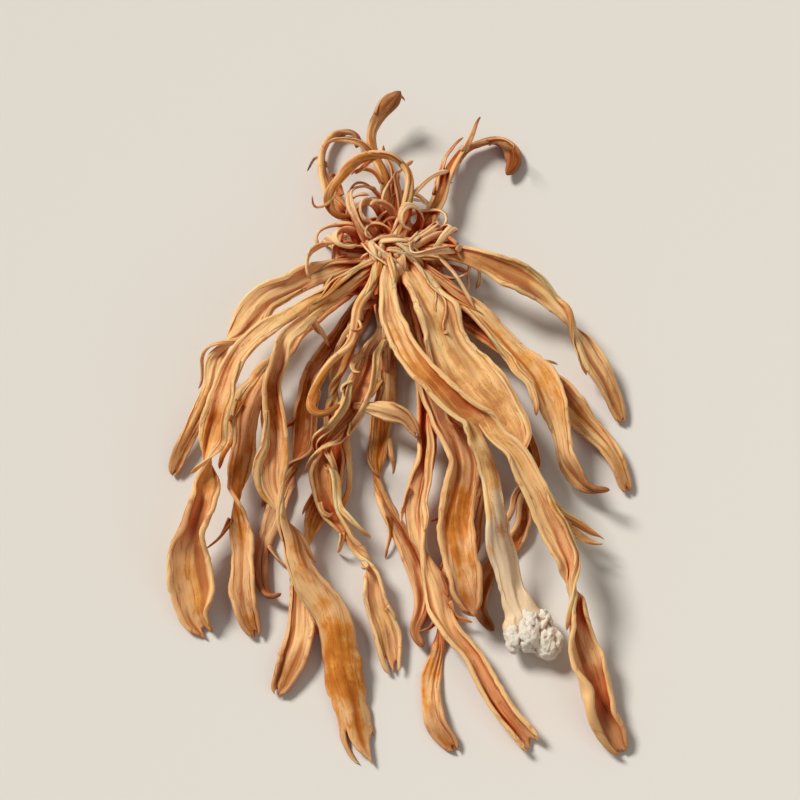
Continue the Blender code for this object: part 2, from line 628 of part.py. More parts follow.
def build_base(grown):
    material = make_material("base", CREAM, BASE_ROUGHNESS)
    pieces = [lump_of(i, *lump, material) for i, lump in enumerate(LUMPS)]
    pieces += [neck_of(s, grown[s.name], material) for s in STEMS if s.root]
    pieces += [stub_of(i, stub, material) for i, stub in enumerate(STUBS)]
    base = pieces.pop(0)
    base.name = "base"
    join_into(base, pieces)
    simplify(base)
    flatten_foot(base)
    return base


def main():
    clear_scene()
    grown = {}
    for stem in STEMS:
        grown[stem.name] = grown_route(stem, grown)
    build_base(grown)
    for stem in STEMS:
        build_stem(stem, grown[stem.name])


main()
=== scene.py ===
"""Dried cordyceps: one tuft of flat, twisted, golden-brown stems that grew from a lumpy base.

It lies on its side on a plain floor. Routes and sections are worked out in millimetres about the
foot of the base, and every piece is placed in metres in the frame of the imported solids, +Z up.
"""

import json
import math
from collections import namedtuple

import bpy
import numpy as np
from bpy.props import FloatProperty, FloatVectorProperty, IntProperty, PointerProperty
from mathutils import Matrix, Vector, noise

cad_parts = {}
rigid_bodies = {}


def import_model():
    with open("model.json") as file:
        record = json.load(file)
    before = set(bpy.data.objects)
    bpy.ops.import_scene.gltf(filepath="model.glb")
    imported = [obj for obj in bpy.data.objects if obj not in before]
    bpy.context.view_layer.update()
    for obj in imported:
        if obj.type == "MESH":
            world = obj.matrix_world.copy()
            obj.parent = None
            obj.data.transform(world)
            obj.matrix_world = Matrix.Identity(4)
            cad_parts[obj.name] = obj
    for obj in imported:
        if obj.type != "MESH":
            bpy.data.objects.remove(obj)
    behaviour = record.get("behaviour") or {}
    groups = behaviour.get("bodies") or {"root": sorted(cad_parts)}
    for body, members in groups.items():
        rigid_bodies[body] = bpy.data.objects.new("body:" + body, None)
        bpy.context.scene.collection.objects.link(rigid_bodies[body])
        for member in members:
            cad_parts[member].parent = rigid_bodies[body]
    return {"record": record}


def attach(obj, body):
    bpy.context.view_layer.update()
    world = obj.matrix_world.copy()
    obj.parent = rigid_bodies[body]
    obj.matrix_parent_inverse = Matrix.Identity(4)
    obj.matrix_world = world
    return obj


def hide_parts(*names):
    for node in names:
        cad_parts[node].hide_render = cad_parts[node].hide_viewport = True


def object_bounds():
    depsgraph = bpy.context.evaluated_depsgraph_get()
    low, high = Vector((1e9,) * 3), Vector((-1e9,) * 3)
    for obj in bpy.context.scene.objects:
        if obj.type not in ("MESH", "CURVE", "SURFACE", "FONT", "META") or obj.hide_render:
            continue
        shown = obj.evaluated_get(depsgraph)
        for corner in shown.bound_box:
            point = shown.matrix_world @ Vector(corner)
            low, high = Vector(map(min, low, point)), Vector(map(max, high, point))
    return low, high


bl_info = {
    "name": "Dried cordyceps tuft",
    "version": (1, 0, 0),
    "blender": (4, 5, 0),
    "location": "3D View > Sidebar > Cordyceps",
    "description": "Grows a dried tuft of cordyceps, lays it on a floor and lights it",
    "category": "Add Mesh",
}

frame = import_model()
CAD_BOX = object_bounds()

MM = 0.001

# The routes of the stems, as in the solids, in millimetres and degrees
BASE_AT = (-1.28, 27.66)  # where the foot of the base stands
GAP = 0.3  # between the starts of two branches
FINE = 16  # steps from one knot to the next
NUDGE = 0.02  # a route's direction is taken this far to both sides, in knots
WANDER = 1.4  # how far a stem strays from its route
WANDER_RATE = 0.85  # how often it strays, for each knot
WANDER_SEEDS = (3.7, 5.1)
WIDTH_CHANGE = 0.3  # how much its width varies, as a share of it
ROLL_CHANGE = 30.0
FORK_RUN = 2.2  # a branch runs straight on this far from its parent's end

# A knot of a route: place, width and thickness of the stem there, and how far it is turned
# about its own length
Knot = namedtuple("Knot", "x y z width thick roll")
# A stem's whole route, and the width direction it takes from its parent where it is a branch
Route = namedtuple("Route", "knots across")
# The small side shoots of a stem: how many, the longest in millimetres, and how far they bend
Shoots = namedtuple("Shoots", "count longest bend")
NO_SHOOTS = Shoots(0, 0.0, 0)
# root: length that is part of the base. side: which half of its parent's end a branch grows from.
# cup: how hollow its upper side is. tip: how it ends. strands: how many narrow strands have split
# off its rims. twists: where it turns over, in millimetres from its tip. Its material slot comes
# from the record.
Stem = namedtuple(
    "Stem", "name parent root side cup tip route shoots strands twists", defaults=(NO_SHOOTS, 0, ())
)
# How a stem ends: depth of its tears (mm), how many tongues it is torn into, how square its end
# is, the length over which it narrows (mm), how dark and how pale it is over its last stretch,
# the length of that stretch (mm), and how far it rolls up there (degrees)
Tip = namedtuple("Tip", "tear tongues square taper dark pale reach furl")

TORN = Tip(3.4, 2.4, 0.75, 1.5, 0.2, 0.1, 9.0, 35)
SPLIT = Tip(7.0, 1.6, 0.5, 2.0, 0.15, 0.1, 12.0, 20)
POINTED = Tip(1.3, 1.5, 0.3, 2.0, 0.5, 0.0, 11.0, 80)
CURLED = Tip(0.0, 1.0, 0.0, 1.6, 0.8, 0.0, 12.0, 40)
BLUNT = Tip(1.8, 3.2, 0.9, 1.2, 0.0, 0.3, 8.0, 10)
CROWNED = Tip(0.0, 1.0, 0.0, 2.0, 0.0, 1.0, 32.0, 0)
FORKED = Tip(0.0, 1.0, 1.0, 1.0, 0.0, 0.0, 1.0, 0)
SHOOT_END = Tip(0.0, 1.0, 0.0, 1.5, 0.3, 0.1, 3.0, 0)


def through(*rows):
    """The knots of a route, from their values."""
    return tuple(Knot(*row) for row in rows)


LEFT_STEMS = (
    Stem("stem_left", "base", 8.4, 0, 0.14, FORKED, through(
        (-1, 1, 6, 3.4, 1.8, 0), (-5.9, -4.5, 8.6, 3.4, 1.4, -10),
        (-11.6, -10.6, 11.8, 5.2, 1.3, -18), (-17, -15.4, 13, 7.4, 1.3, -6),
    )),
    Stem("branch_left_outer", "stem_left", 0, 1, 0.14, TORN, through(
        (-24.6, -20.4, 13.2, 3.7, 1.2, 10), (-28.4, -28, 12.2, 4, 1.2, 26),
        (-30.6, -36, 10.2, 4.8, 1.2, 10), (-32.2, -43.6, 8, 5.4, 1.2, -14),
        (-33.4, -51.8, 5.6, 6.2, 1.2, -24), (-33.8, -59.5, 3, 6.8, 1.3, -4),
        (-32.4, -65.4, 1.3, 5.8, 1.4, 6), (-30.4, -69.4, 0.9, 3, 1, 14),
    ), strands=1, twists=(31,)),
    Stem("branch_left_twisted", "stem_left", 0, -1, 0.14, SPLIT, through(
        (-19.4, -21.8, 12.9, 3.8, 1.2, -14), (-21, -29.6, 12.4, 5, 1.1, -26),
        (-20.4, -37.4, 11, 5.4, 1.1, -6), (-19.6, -44.6, 9.6, 4.4, 1.1, 34),
        (-18.6, -50, 8.6, 2.8, 1.2, 92), (-16, -56, 7.4, 3.8, 1.1, 150),
        (-12.8, -62, 6.2, 4.8, 1.1, 172), (-10, -68.2, 5, 5.6, 1.1, 190),
        (-8.6, -74.6, 3.4, 6.8, 1.2, 200), (-7.2, -81.6, 1.9, 7.4, 1.3, 190),
        (-5, -87.6, 1.1, 5.4, 1.3, 180), (-3.2, -90.8, 0.8, 2.4, 0.9, 180),
    ), strands=2),
    Stem("stem_left_upper", "base", 7.5, 0, 0.16, POINTED, through(
        (-2, 1.6, 4.6, 3.2, 1.8, 0), (-9, -1.4, 6.4, 3.4, 1.4, -8),
        (-17, -5.6, 8.4, 4.4, 1.3, -26), (-24.4, -11.4, 8.4, 5.2, 1.2, -12),
        (-30, -19.4, 6.8, 5, 1.2, 14), (-34, -28, 4.4, 4.4, 1.2, 20),
        (-37.4, -35.8, 2, 3.2, 1.1, 4), (-38.4, -40.6, 0.9, 1.6, 0.9, 0),
    ), strands=1, twists=(25,)),
    Stem("stem_left_under", "base", 7.5, 0, 0.16, POINTED, through(
        (-1.4, 0.4, 4, 3.2, 1.8, 0), (-7.4, -5, 5, 3.2, 1.4, 12),
        (-14.8, -12.4, 5.8, 4, 1.3, 20), (-21.4, -21.4, 6.2, 4.6, 1.2, 4),
        (-24.8, -30.4, 6.2, 5.2, 1.2, -18), (-26, -39.4, 5.6, 5.4, 1.2, -26),
        (-26.4, -49.4, 4.6, 5.2, 1.2, 4), (-25.8, -58, 3.2, 4.8, 1.2, 22),
        (-24.4, -65, 1.7, 3.8, 1.2, 8), (-22.6, -69.6, 0.9, 2, 0.9, 0),
    ), shoots=Shoots(2, 8, 70), strands=2, twists=(24, 50)),
    Stem("stem_left_low", "base", 7.5, 0, 0.14, CURLED, through(
        (-1, 0.4, 2.2, 3, 1.8, 0), (-6, -7, 1.6, 2.8, 1.4, 0),
        (-12, -16.4, 0.9, 3.2, 1.3, -10), (-15.6, -27, 0.8, 3.8, 1.2, -14),
        (-17.4, -38, 0.8, 3.8, 1.2, 8), (-20.8, -48, 0.8, 3.4, 1.2, 12),
        (-22.2, -56, 0.9, 2.6, 1.1, 0), (-21, -62.4, 1.6, 1.8, 1, -30),
        (-18.6, -62.6, 3.2, 1.2, 0.8, -50),
    ), shoots=Shoots(2, 7, 60), strands=1, twists=(28,)),
)

MIDDLE_STEMS = (
    Stem("stem_front_left", "base", 7.5, 0, 0.14, POINTED, through(
        (-0.8, 0.2, 3, 3, 1.8, 0), (-4.4, -8, 3.6, 2.6, 1.4, 0),
        (-9, -18, 3.2, 3.4, 1.3, 16), (-10.6, -28, 2.8, 4, 1.2, 24),
        (-9.6, -38, 2.4, 4, 1.2, -8), (-13, -49, 2.4, 3.8, 1.2, -24),
        (-15.4, -57.6, 2.4, 3.6, 1.2, -6), (-15, -66, 2, 3.8, 1.2, 20),
        (-16.4, -74, 1.3, 4.2, 1.2, 10), (-19, -79.4, 0.8, 2.2, 1, 0),
    ), shoots=Shoots(3, 8, 60), strands=2, twists=(27, 56)),
    Stem("stem_middle_curly", "base", 8.6, 0, 0, CURLED, through(
        (-1.6, 0.4, 6.8, 2.4, 1.6, 0), (-4.15, -8.4, 10.1, 2, 1.3, 10),
        (-6.8, -14.2, 11.4, 1.8, 1.2, 40), (-8, -20, 11, 1.8, 1.2, 80),
        (-10.8, -24, 10, 1.6, 1.1, 120), (-13.6, -27.6, 9.9, 1.6, 1.1, 160),
        (-14, -31.6, 11.4, 1.5, 1, 190), (-11.6, -34.4, 13.8, 1.4, 1, 220),
        (-8.8, -33.2, 15.2, 0.9, 0.8, 230),
    ), shoots=Shoots(2, 6, 150)),
    Stem("stem_middle", "base", 8, 0, 0.16, TORN, through(
        (-0.4, 0.6, 5.2, 3.2, 1.8, 0), (-1.8, -7, 6.2, 3, 1.4, 6),
        (-2, -13.6, 6.9, 3.4, 1.3, 18), (-4.2, -20.6, 7.2, 4.2, 1.2, 4),
        (-7, -28.6, 6.9, 4.8, 1.2, -20), (-10.8, -35, 6.2, 4.6, 1.2, -40),
        (-12.2, -41.4, 5.4, 5.4, 1.2, -14), (-10.4, -47.6, 4.8, 4.4, 1.2, 24),
        (-7.2, -52, 4.2, 3.4, 1.2, 60), (-4.4, -57.2, 3.6, 3.4, 1.1, 30),
        (-2.4, -63.6, 2.6, 3.8, 1.1, -6), (-0.8, -70, 1.5, 4.2, 1.2, -14),
        (0.2, -75.8, 0.9, 2.4, 1, 0),
    ), shoots=Shoots(9, 7, 200), strands=2, twists=(20, 42)),
    Stem("blade_middle", "stem_middle", 0, 0, 0.14, POINTED, through(
        (-4.83, -29.9, 7.2, 2.6, 1, 0), (-2.2, -30.4, 7.8, 4, 1, 4),
        (0.2, -31.2, 8.2, 4.6, 1, 12), (2.6, -33, 7.8, 3.2, 0.9, 20),
        (4.6, -36, 6.9, 1, 0.8, 24),
    )),
    Stem("stem_middle_low", "base", 7.5, 0, 0.14, CURLED, through(
        (-0.4, 0.4, 2, 3, 1.8, 0), (-1.8, -8, 1.4, 2.6, 1.3, 0),
        (-0.8, -18, 0.8, 3, 1.2, 10), (-2.4, -30, 0.8, 3.4, 1.2, 14),
        (-3, -41, 0.8, 3.6, 1.2, -10), (1.2, -51, 0.8, 3.4, 1.2, -14),
        (4.4, -60.4, 0.8, 3, 1.1, 6), (3.4, -67.6, 1, 2.2, 1, 30),
        (5.2, -71.6, 2.4, 1.4, 0.9, 60),
    ), shoots=Shoots(4, 9, 70), strands=1, twists=(33,)),
    Stem("stem_front_long", "base", 7.5, 0, 0.18, BLUNT, through(
        (0.6, 0.4, 3.6, 3.2, 1.8, 0), (1.4, -8.4, 4, 3, 1.4, -6),
        (3.6, -17, 4.4, 3.4, 1.3, -20), (6.4, -27.4, 4.6, 4, 1.2, -6),
        (6.2, -37, 4.6, 4.2, 1.2, 20), (5, -47.4, 4.2, 4, 1.2, 34),
        (5.6, -56.2, 3.6, 4.2, 1.2, 10), (8, -65, 3.1, 4.2, 1.2, -18),
        (12.2, -73.4, 2.6, 4.2, 1.2, -26), (18, -81.6, 1.8, 4.8, 1.2, -8),
        (22.8, -87.8, 1, 4.4, 1.3, 0),
    ), shoots=Shoots(2, 7, 60), strands=1, twists=(37,)),
    Stem("stem_front_right", "base", 8.4, 0, 0.14, POINTED, through(
        (1.2, 0, 3.2, 3, 1.8, 0), (4.9, -8.2, 3.3, 2.6, 1.4, 0),
        (8.6, -17, 2.6, 3.2, 1.3, -14), (12.4, -27, 2.6, 3.8, 1.2, -20),
        (14.4, -38, 2.6, 4, 1.2, 6), (12.6, -48, 2.2, 3.8, 1.2, 18),
        (9.6, -57, 1.2, 3.4, 1.2, 0), (8.4, -66, 0.8, 3.2, 1.1, -8),
        (6.4, -76, 0.8, 3.6, 1.2, -12), (7.4, -84, 0.8, 3.4, 1.2, 8),
        (10.4, -88.6, 0.8, 1.8, 0.9, 10),
    ), shoots=Shoots(3, 9, 60), strands=2, twists=(22, 58)),
)

RIGHT_STEMS = (
    Stem("stem_right_inner", "base", 8, 0, 0.12, POINTED, through(
        (0.8, 0.4, 5.2, 3.2, 1.8, 0), (2.2, -9.4, 6.2, 2.8, 1.4, 4),
        (4.4, -18.4, 7.2, 3.6, 1.3, 16), (8.2, -29.4, 8.1, 5.2, 1.2, 6),
        (10.8, -38.8, 7.8, 6.6, 1.2, -14), (11.2, -48.8, 7, 7.2, 1.2, -20),
        (11.6, -57, 6.4, 6.8, 1.2, -4), (12.8, -63.4, 6.2, 5.2, 1.3, 12),
        (13.8, -67.6, 6.4, 2.8, 1, 20),
    ), strands=1),
    Stem("stem_right", "base", 8, 0, 0.16, FORKED, through(
        (-0.2, 0.4, 7.2, 3, 1.8, 0), (-1, -8.4, 10.6, 3, 1.4, 8),
        (-0.2, -14.4, 12.4, 3.4, 1.3, 22), (3.4, -23.6, 14.4, 4, 1.2, 30),
        (7.4, -30, 15.4, 4.6, 1.2, 16), (12.2, -35, 15.2, 6.4, 1.2, 4),
        (14.4, -37.4, 14.8, 7.2, 1.3, 2),
    )),
    Stem("branch_right_outer", "stem_right", 0, -1, 0.16, POINTED, through(
        (20.6, -41.8, 13.8, 3.7, 1.2, 12), (24.4, -48, 12.4, 4, 1.2, 28),
        (27.6, -55.2, 10.4, 4.2, 1.2, 14), (29.4, -63.8, 7.8, 4.8, 1.2, -12),
        (30.4, -71.6, 5.4, 5.8, 1.2, -24), (32, -78, 3.4, 6.4, 1.2, -8),
        (34.4, -83.8, 1.8, 5.6, 1.3, 4), (37.2, -89, 0.9, 2.6, 1, 8),
    ), strands=1, twists=(29,)),
    Stem("branch_right_pale", "stem_right", 0, 1, 0.12, CROWNED, through(
        (16.4, -44.8, 12.8, 3.8, 1.2, -10), (17.4, -51, 10.8, 5.4, 1.2, -26),
        (18.8, -57.6, 8.2, 6.4, 1.3, -14), (20.4, -63.4, 5.3, 5.8, 2, 0),
        (22.2, -67.6, 3.4, 6.8, 4.6, 6), (23.6, -71.4, 2.7, 7.2, 5.6, 8),
        (24.8, -74.8, 2.2, 4.2, 3.2, 8),
    )),
    Stem("stem_right_wide", "base", 7.5, 0, 0.2, SPLIT, through(
        (1.8, 0.4, 6.4, 3.6, 1.8, 0), (5.4, -8, 8.8, 5, 1.4, -8),
        (8.8, -15.4, 10.4, 8.4, 1.3, -14), (12.4, -24, 11.4, 9.8, 1.3, -10),
        (16.4, -32, 11.2, 9.2, 1.3, 4), (20.8, -38.6, 10, 6.6, 1.2, 26),
        (23.8, -44.4, 8.6, 4.4, 1.2, 48), (27.2, -49.6, 7, 4, 1.2, 20),
        (31.6, -52.8, 5.6, 4.8, 1.2, -14), (35.8, -54.2, 5.2, 2.4, 0.9, -20),
    ), shoots=Shoots(1, 7, 90), strands=2, twists=(20,)),
    Stem("stem_right_short", "base", 7.5, 0, 0.2, CURLED, through(
        (2.2, 0.8, 5.4, 3.2, 1.8, 0), (9.2, -5.6, 6.6, 3, 1.4, -8),
        (17, -13.4, 7.6, 4.2, 1.3, -26), (24, -21.8, 8, 5, 1.2, -10),
        (28.4, -31, 7.4, 4.6, 1.2, 24), (30, -39.4, 5.8, 3.8, 1.2, 60),
        (33.6, -44.6, 5, 2.8, 1.1, 90), (37, -45.2, 6.4, 1.4, 0.9, 110),
    ), strands=1),
    Stem("stem_right_upper", "base", 7.5, 0, 0.18, POINTED, through(
        (2.2, 1.4, 6.4, 3.2, 1.8, 0), (9.4, 0.4, 8.6, 3.2, 1.4, 8),
        (16.8, -2.4, 9.8, 4.4, 1.3, 26), (24.8, -6.8, 9.2, 5.2, 1.2, 10),
        (31.2, -12.6, 7.2, 4.8, 1.2, -18), (36.4, -20.2, 4.4, 4.2, 1.2, -10),
        (39.6, -26.6, 2, 3, 1.1, 4), (40.8, -30.6, 0.9, 1.6, 0.9, 8),
    ), strands=1, twists=(21,)),
    Stem("stem_right_lower", "base", 7.5, 0, 0.18, POINTED, through(
        (1.8, 0, 4, 3.2, 1.8, 0), (8.8, -5.6, 4.2, 3.2, 1.4, -6),
        (16.8, -13.8, 4.6, 4.6, 1.3, -18), (25.6, -22.2, 4.6, 5.4, 1.2, -8),
        (33.6, -30, 3.8, 4.8, 1.2, 14), (38.8, -37.4, 2.4, 3.8, 1.2, 8),
        (41, -43.6, 1, 2, 1, 0),
    ), strands=1, twists=(27,)),
    Stem("stem_right_low", "base", 7.5, 0, 0.14, CURLED, through(
        (1.4, -0.2, 2, 3, 1.8, 0), (7.2, -8.6, 1.4, 2.8, 1.3, 0),
        (13.6, -19, 0.8, 3.2, 1.2, 12), (20.4, -30, 0.8, 3.8, 1.2, 14),
        (22.8, -42, 0.8, 3.8, 1.2, -8), (20.8, -52, 0.8, 3.4, 1.2, -12),
        (15.8, -59.4, 0.8, 2.8, 1.1, 0), (14.8, -65, 0.9, 2, 1, 20),
        (17, -68.6, 1.6, 1.2, 0.8, 40),
    ), shoots=Shoots(2, 8, 90), strands=1, twists=(30,)),
)

BACK_STEMS = (
    Stem("stem_back_hook", "base", 7.5, 0, 0, CURLED, through(
        (0.4, 1.6, 6.4, 2.6, 1.6, 0), (2.4, 9.4, 8.8, 2.2, 1.3, 20),
        (3.2, 15.4, 10, 2, 1.2, 50), (0.2, 20.2, 10.6, 2, 1.2, 90),
        (-5, 19.6, 9.9, 2.1, 1.2, 130), (-9.6, 17.2, 8.6, 2, 1.2, 160),
        (-12.2, 12.6, 7.6, 1.9, 1.2, 180), (-10.6, 8.6, 7.2, 1.5, 1.1, 200),
        (-7.6, 8.4, 7.8, 0.9, 0.8, 200),
    ), shoots=Shoots(3, 10, 220)),
    Stem("stem_back_left", "base", 7.5, 0, 0.14, CURLED, through(
        (-1.6, 1.4, 4.2, 3, 1.8, 0), (-7.2, 8.6, 4.2, 2.8, 1.3, 6),
        (-10.8, 15.6, 3.8, 2.8, 1.2, 30), (-13.6, 22.4, 3, 2.4, 1.2, 60),
        (-13.6, 28.4, 2, 2, 1.1, 90), (-10.4, 31.8, 1.4, 1.8, 1.1, 120),
        (-7, 30.4, 1.4, 1.6, 1, 150), (-7.2, 27.2, 2.2, 1, 0.8, 170),
    ), shoots=Shoots(3, 12, 220)),
    Stem("stem_back_middle", "base", 7.5, 0, 0.14, CURLED, through(
        (-0.6, 1.6, 3.2, 3, 1.8, 0), (-0.6, 9.6, 3.2, 2.8, 1.3, 10),
        (-1.4, 19, 3, 2.6, 1.2, 30), (-3.6, 26.2, 3.8, 2.3, 1.2, 20),
        (-3.2, 31.2, 5.6, 2.2, 1.3, 0), (-0.8, 34.2, 7.8, 2.8, 2.1, 0),
        (1.4, 35.4, 9.2, 1.4, 1.2, 0),
    ), shoots=Shoots(4, 13, 220), strands=1),
    Stem("stem_back_club", "base", 7.5, 0, 0.14, CURLED, through(
        (1.4, 1.6, 4.2, 3, 1.8, 0), (6.6, 9.2, 4.4, 2.8, 1.3, -6),
        (10, 18.6, 3.8, 2.8, 1.2, -30), (13.6, 26, 2.8, 2.5, 1.2, -50),
        (18.4, 29.4, 1.8, 2.4, 1.2, -30), (22.4, 27.6, 1.3, 2.8, 1.7, -10),
        (23.2, 23.6, 1.5, 2.6, 1.7, 0), (21.6, 21.2, 1.9, 1, 0.9, 0),
    ), shoots=Shoots(3, 12, 220), strands=1),
)

STEMS = LEFT_STEMS + MIDDLE_STEMS + RIGHT_STEMS + BACK_STEMS
SEEDS = {stem.name: number for number, stem in enumerate(STEMS, 1)}
SLOT_OF = {part["node"]: part["material_slot"] for part in frame["record"]["subparts"]}

# The lumps that make up the base, in millimetres about its foot: middle and radii
LUMPS = (
    ((0.0, 0.4, 3.8), (6.6, 5.0, 5.2)),
    ((-4.6, 2.4, 3.6), (3.6, 3.0, 3.2)),
    ((4.4, 1.6, 4.6), (3.4, 3.2, 3.8)),
    ((1.4, 4.6, 2.8), (3.8, 2.6, 3.0)),
    ((-0.6, -3.0, 6.6), (4.2, 2.8, 2.8)),
)
FOOT = np.array([*BASE_AT, 0.0])
CORE_MIDDLE, CORE_RADII = np.array(LUMPS[0])

# A slow change along a stem: where its noise starts, the length of one change, how strong it is,
# and the row of the noise
Wave = namedtuple("Wave", "seed size strength row", defaults=(1.0, 0.5))

# The cross-sections of the stems; lengths are in millimetres
HIDDEN_ROOT = 6.4  # how far inside the base a stem starts
HIDDEN_SPUR = 2.2  # how far inside its parent a side blade starts
ROOT_RUN = 26.0  # over this length a stem's flesh takes its own colour
FORK_BLEND = 8.0  # over this length a branch leaves the shape of its parent's half
FORK_GRAIN = 20.0  # over this length it leaves its parent's shade
FORK_CLOSE = 1.0  # over this length the end of a forked stem closes between its branches
FORK_OPEN = 0.1  # how thick it stays at its very end, as a share
FORK_START = -1.8  # a branch starts inside its parent, this many spans before its first knot
BRANCH_OPEN = 0.05  # how thick it is at its very start, as a share
FORK_SINK = 0.98  # how thick it is further on inside its parent, as a share of the parent
FORK_HOLD = 0.6  # how far before the fork it starts to leave the parent's shape
FORK_RIM = 10  # how square its rims are there
FORK_PALE = 15.0  # over this length before a fork a stem loses the painted shade of its thin middle and takes the pale root colour of its branches
EVEN_PATH = 1.5  # bends shorter than this are evened out
EVEN_LIMIT = 7  # and a stem is evened out over at most one part in this many
FINE_PATH = 400  # steps a route is measured with
LEAST_STEPS = 8  # steps from one cross-section to the next in the shortest stem
CALM_START = 8.0  # over this length out of the base a stem takes up its small bends
CALM_END = 6.0  # and over this length it leaves them before its tip
FLESH_LIMIT = 3.6  # flesh that is thicker than this is lumps, over a thinner stem
SOFT_LIMIT = 0.35  # this near the floor or the top a stem starts to bend along it
TWIST_RUN = 9.0  # the length over which a stem turns over
TWIST_NARROW = 0.45  # how much narrower it is there
TWIST_SPREAD = 4.05  # over this length to both sides it narrows
TWIST_STAND = 0.45  # how high a stem that stands on its side lies, as a share of its width
GATHER_FOLD = math.radians(48)  # how far a stem folds along its middle where it is gathered
GATHER_NARROW = 0.3  # how much narrower it is there
CUP_LEVEL = 0.35  # how far the middle of a hollow stem is lowered, for its cup and width
FLAT_RATIO = (1.4, 3.2)  # a stem this many times wider than thick starts to be flat, and is
THIN_RATIO = (1.6, 3.6)  # and here its middle starts to be thin, and is
MIDDLE_THIN = 0.5  # how much thinner the middle of a flat stem is
BEAD_AT = 0.88  # where the bead of its rims stands
BEAD_SPREAD = 0.12
BEAD_RISE = 0.42
SLIM = 3.0  # a stem narrower than this has fewer folds
FULL_FOLDS = 4.5  # a stem this wide has folds of full depth
FOLDS = (5, 1.0)  # how many folds a stem has, and how wide they are
SLIM_FOLDS = (3, 2.0)  # and those of a slim one
FOLD_PLACE = (-0.75, 0.75)  # where they lie across it, as a share of half its width
FOLD_SPREAD = (0.08, 0.2)  # how far they spread
FOLD_STRENGTH = (0.7, 1.5)
FOLD_RIM = 0.12  # they fade out this far before its rims
OWN_FOLDS = 0.36  # how deep the folds of one skin are, against those that both share
OWN_WIDTH = 0.7  # and how wide
KEEL_SHARP = 0.14  # over this share of its half width a stem folds along its middle
GATHER_SHARP = 0.2  # and over this one where it is gathered
RUFFLE_RISE = 1.5  # the power by which its sides wave more towards the rims
CURL_MEAN = 0.4  # how far the rims roll up on average, as a share of the rim curl
CURL_BAND = (0.7, 1.0)  # from and to here across its half width they roll up
FURL_BAND = (0.1, 1.0)  # and here the whole stem, where it is rolled up
RAGGED_BAND = (0.3, 1.0)  # and here its sides are uneven
NICK_DEPTH = 1.6  # how deep a nick in an edge is, against its other uneven places
NICK_LEVELS = (0.5, 0.9)  # where its noise is above the first value an edge starts to be nicked
LEAST_SPAN = 0.1  # a rolled up cross-section counts as at least this wide
LEAST_NARROW = 0.02  # how narrow a tip gets
RIM_POWERS = (2.0, 12.0)  # how square the rims are: round stems, and flat ones
FINE_SKIN = (0.45, 1.5)  # width and length of the small uneven places of the skin
BROAD_SKIN = (1.8, 0.9)  # and of the broad ones
BROAD_SHARE = 0.8
HOLLOW_LEVEL = 0.42  # how hollow level skin is taken to be
HOLLOW_SHARED = 1.275  # how much the folds that both skins share change that
HOLLOW_OWN = 0.595  # and those of one skin
THINNEST = 0.06  # half the least thickness
TORN_EDGE = 0.8  # over this length the two skins meet at a torn edge
TIP_EDGE = 0.7  # and over this length at any other tip
TEAR_START = (0.25, 0.37)  # where the first tear is, and how far it shifts from stem to stem
TEAR_DEPTH = (0.75, 0.4)  # how deep the tears are on average, and how much that varies
TEAR_DRAW = 2.5  # how far back from the tip a tear draws the skin, against its depth
TEAR_LEAST = 0.1  # and this much further, in millimetres
MIDDLE_PAINTED_SHADE = 0.45  # how much painted shade darkens the thin middle of a wide stem, between its rims
MEMBRANE_WIDTH = (3.5, 7.0)  # a stem this wide starts to have such a middle, and has
MEMBRANE_BAND = 0.85  # how much of its width that is
RIM_HIGHLIGHT_BAND = (0.76, 0.96)  # from and to here across half its width a stem's rims get a painted highlight
END_NOISE = (3.0, 0.5)  # length and width of the uneven edge of a tip's dark and bloom
END_CHANGE = 0.5  # how uneven it is
END_FULL = 0.15  # over this share of a tip's last stretch they are full
STEM_APART = 3.1  # how far apart the fibres of two stems lie in the noise

SMALL_SWAY = Wave(500, 4.5, 0.28)
SMALL_LIFT = Wave(501, 3.8, 0.28)
FOLD_DRIFT = Wave(0, 15.0, 0.35, 1.5)
FOLD_RISE = Wave(40, 11.0, 1.0, 2.5)
KEEL = Wave(50, 13.0)
CREASE = Wave(51, 17.0, 0.4)
GATHER = Wave(130, 9.0, 1.1)
GATHER_SIDE = Wave(131, 1.0)
RUFFLE = Wave(60, 4.6, 1.0, 3.5)
ROLLING = Wave(70, 8.0, 1.0, 4.5)
EDGE = Wave(100, 2.6)
FINE_EDGE = Wave(110, 0.9, 0.5)
NICK = Wave(120, 2.4)
BEADS = (Wave(80, 8.0, 0.25, 5.5), Wave(81, 8.0, 0.25, 6.5))
SHADE = Wave(12, 17.0, 1.0, 9.5)

# The small side shoots, and the narrow stems beside a stem
SHOOT_SEED = 900
SHOOT_ROOT = 0.35  # how far inside a stem's rim what grows from it starts
SHOOT_POINTS = 13  # points across it
SHOOT_STEP = 0.35  # distance between two of its cross-sections
SHOOT_STEPS = 12  # the least number of them
SHOOT_STRETCH = (0.22, 0.66)  # where the stretch of a stem with shoots starts, and its length
SHOOT_PLACE = (0.2, 0.8)  # where a shoot stands in its part of that stretch
SHOOT_OPENING = (12, 40)  # the angles at which they leave the stem
SHOOT_LENGTH = (0.55, 1.0)  # as shares of the longest
SHOOT_BEND = (0.45, 1.0)  # as shares of the furthest
SHOOT_LEAST = 0.4  # they are at least this wide,
SHOOT_SHARE = 0.3  # and wider by this share of the stem's width,
SHOOT_WIDEST = 1.3  # but not wider than this
SHOOT_WIDTH = (0.75, 1.15)  # how much that varies
SHOOT_THICK = 0.65
SHOOT_FACING = (-0.6, 1.0)  # how far their flat side faces upward
SHOOT_DARK = (0.2, 0.6)  # how dark their tips are, on a stem with a pale and with a dark tip
DARK_TIP = 0.3  # how dark such a dark tip is at least
SHOOT_APART = (7.0, 3.0)  # how far apart the fibres of two shoots lie in the noise
EVEN_BEND = 0.35  # how much of a shoot's bend is even along it; the rest grows to its tip
LATE_BEND = 2.5  # by this power
SHOOT_TAPER = 1.35  # how wide it is at its root, against its width
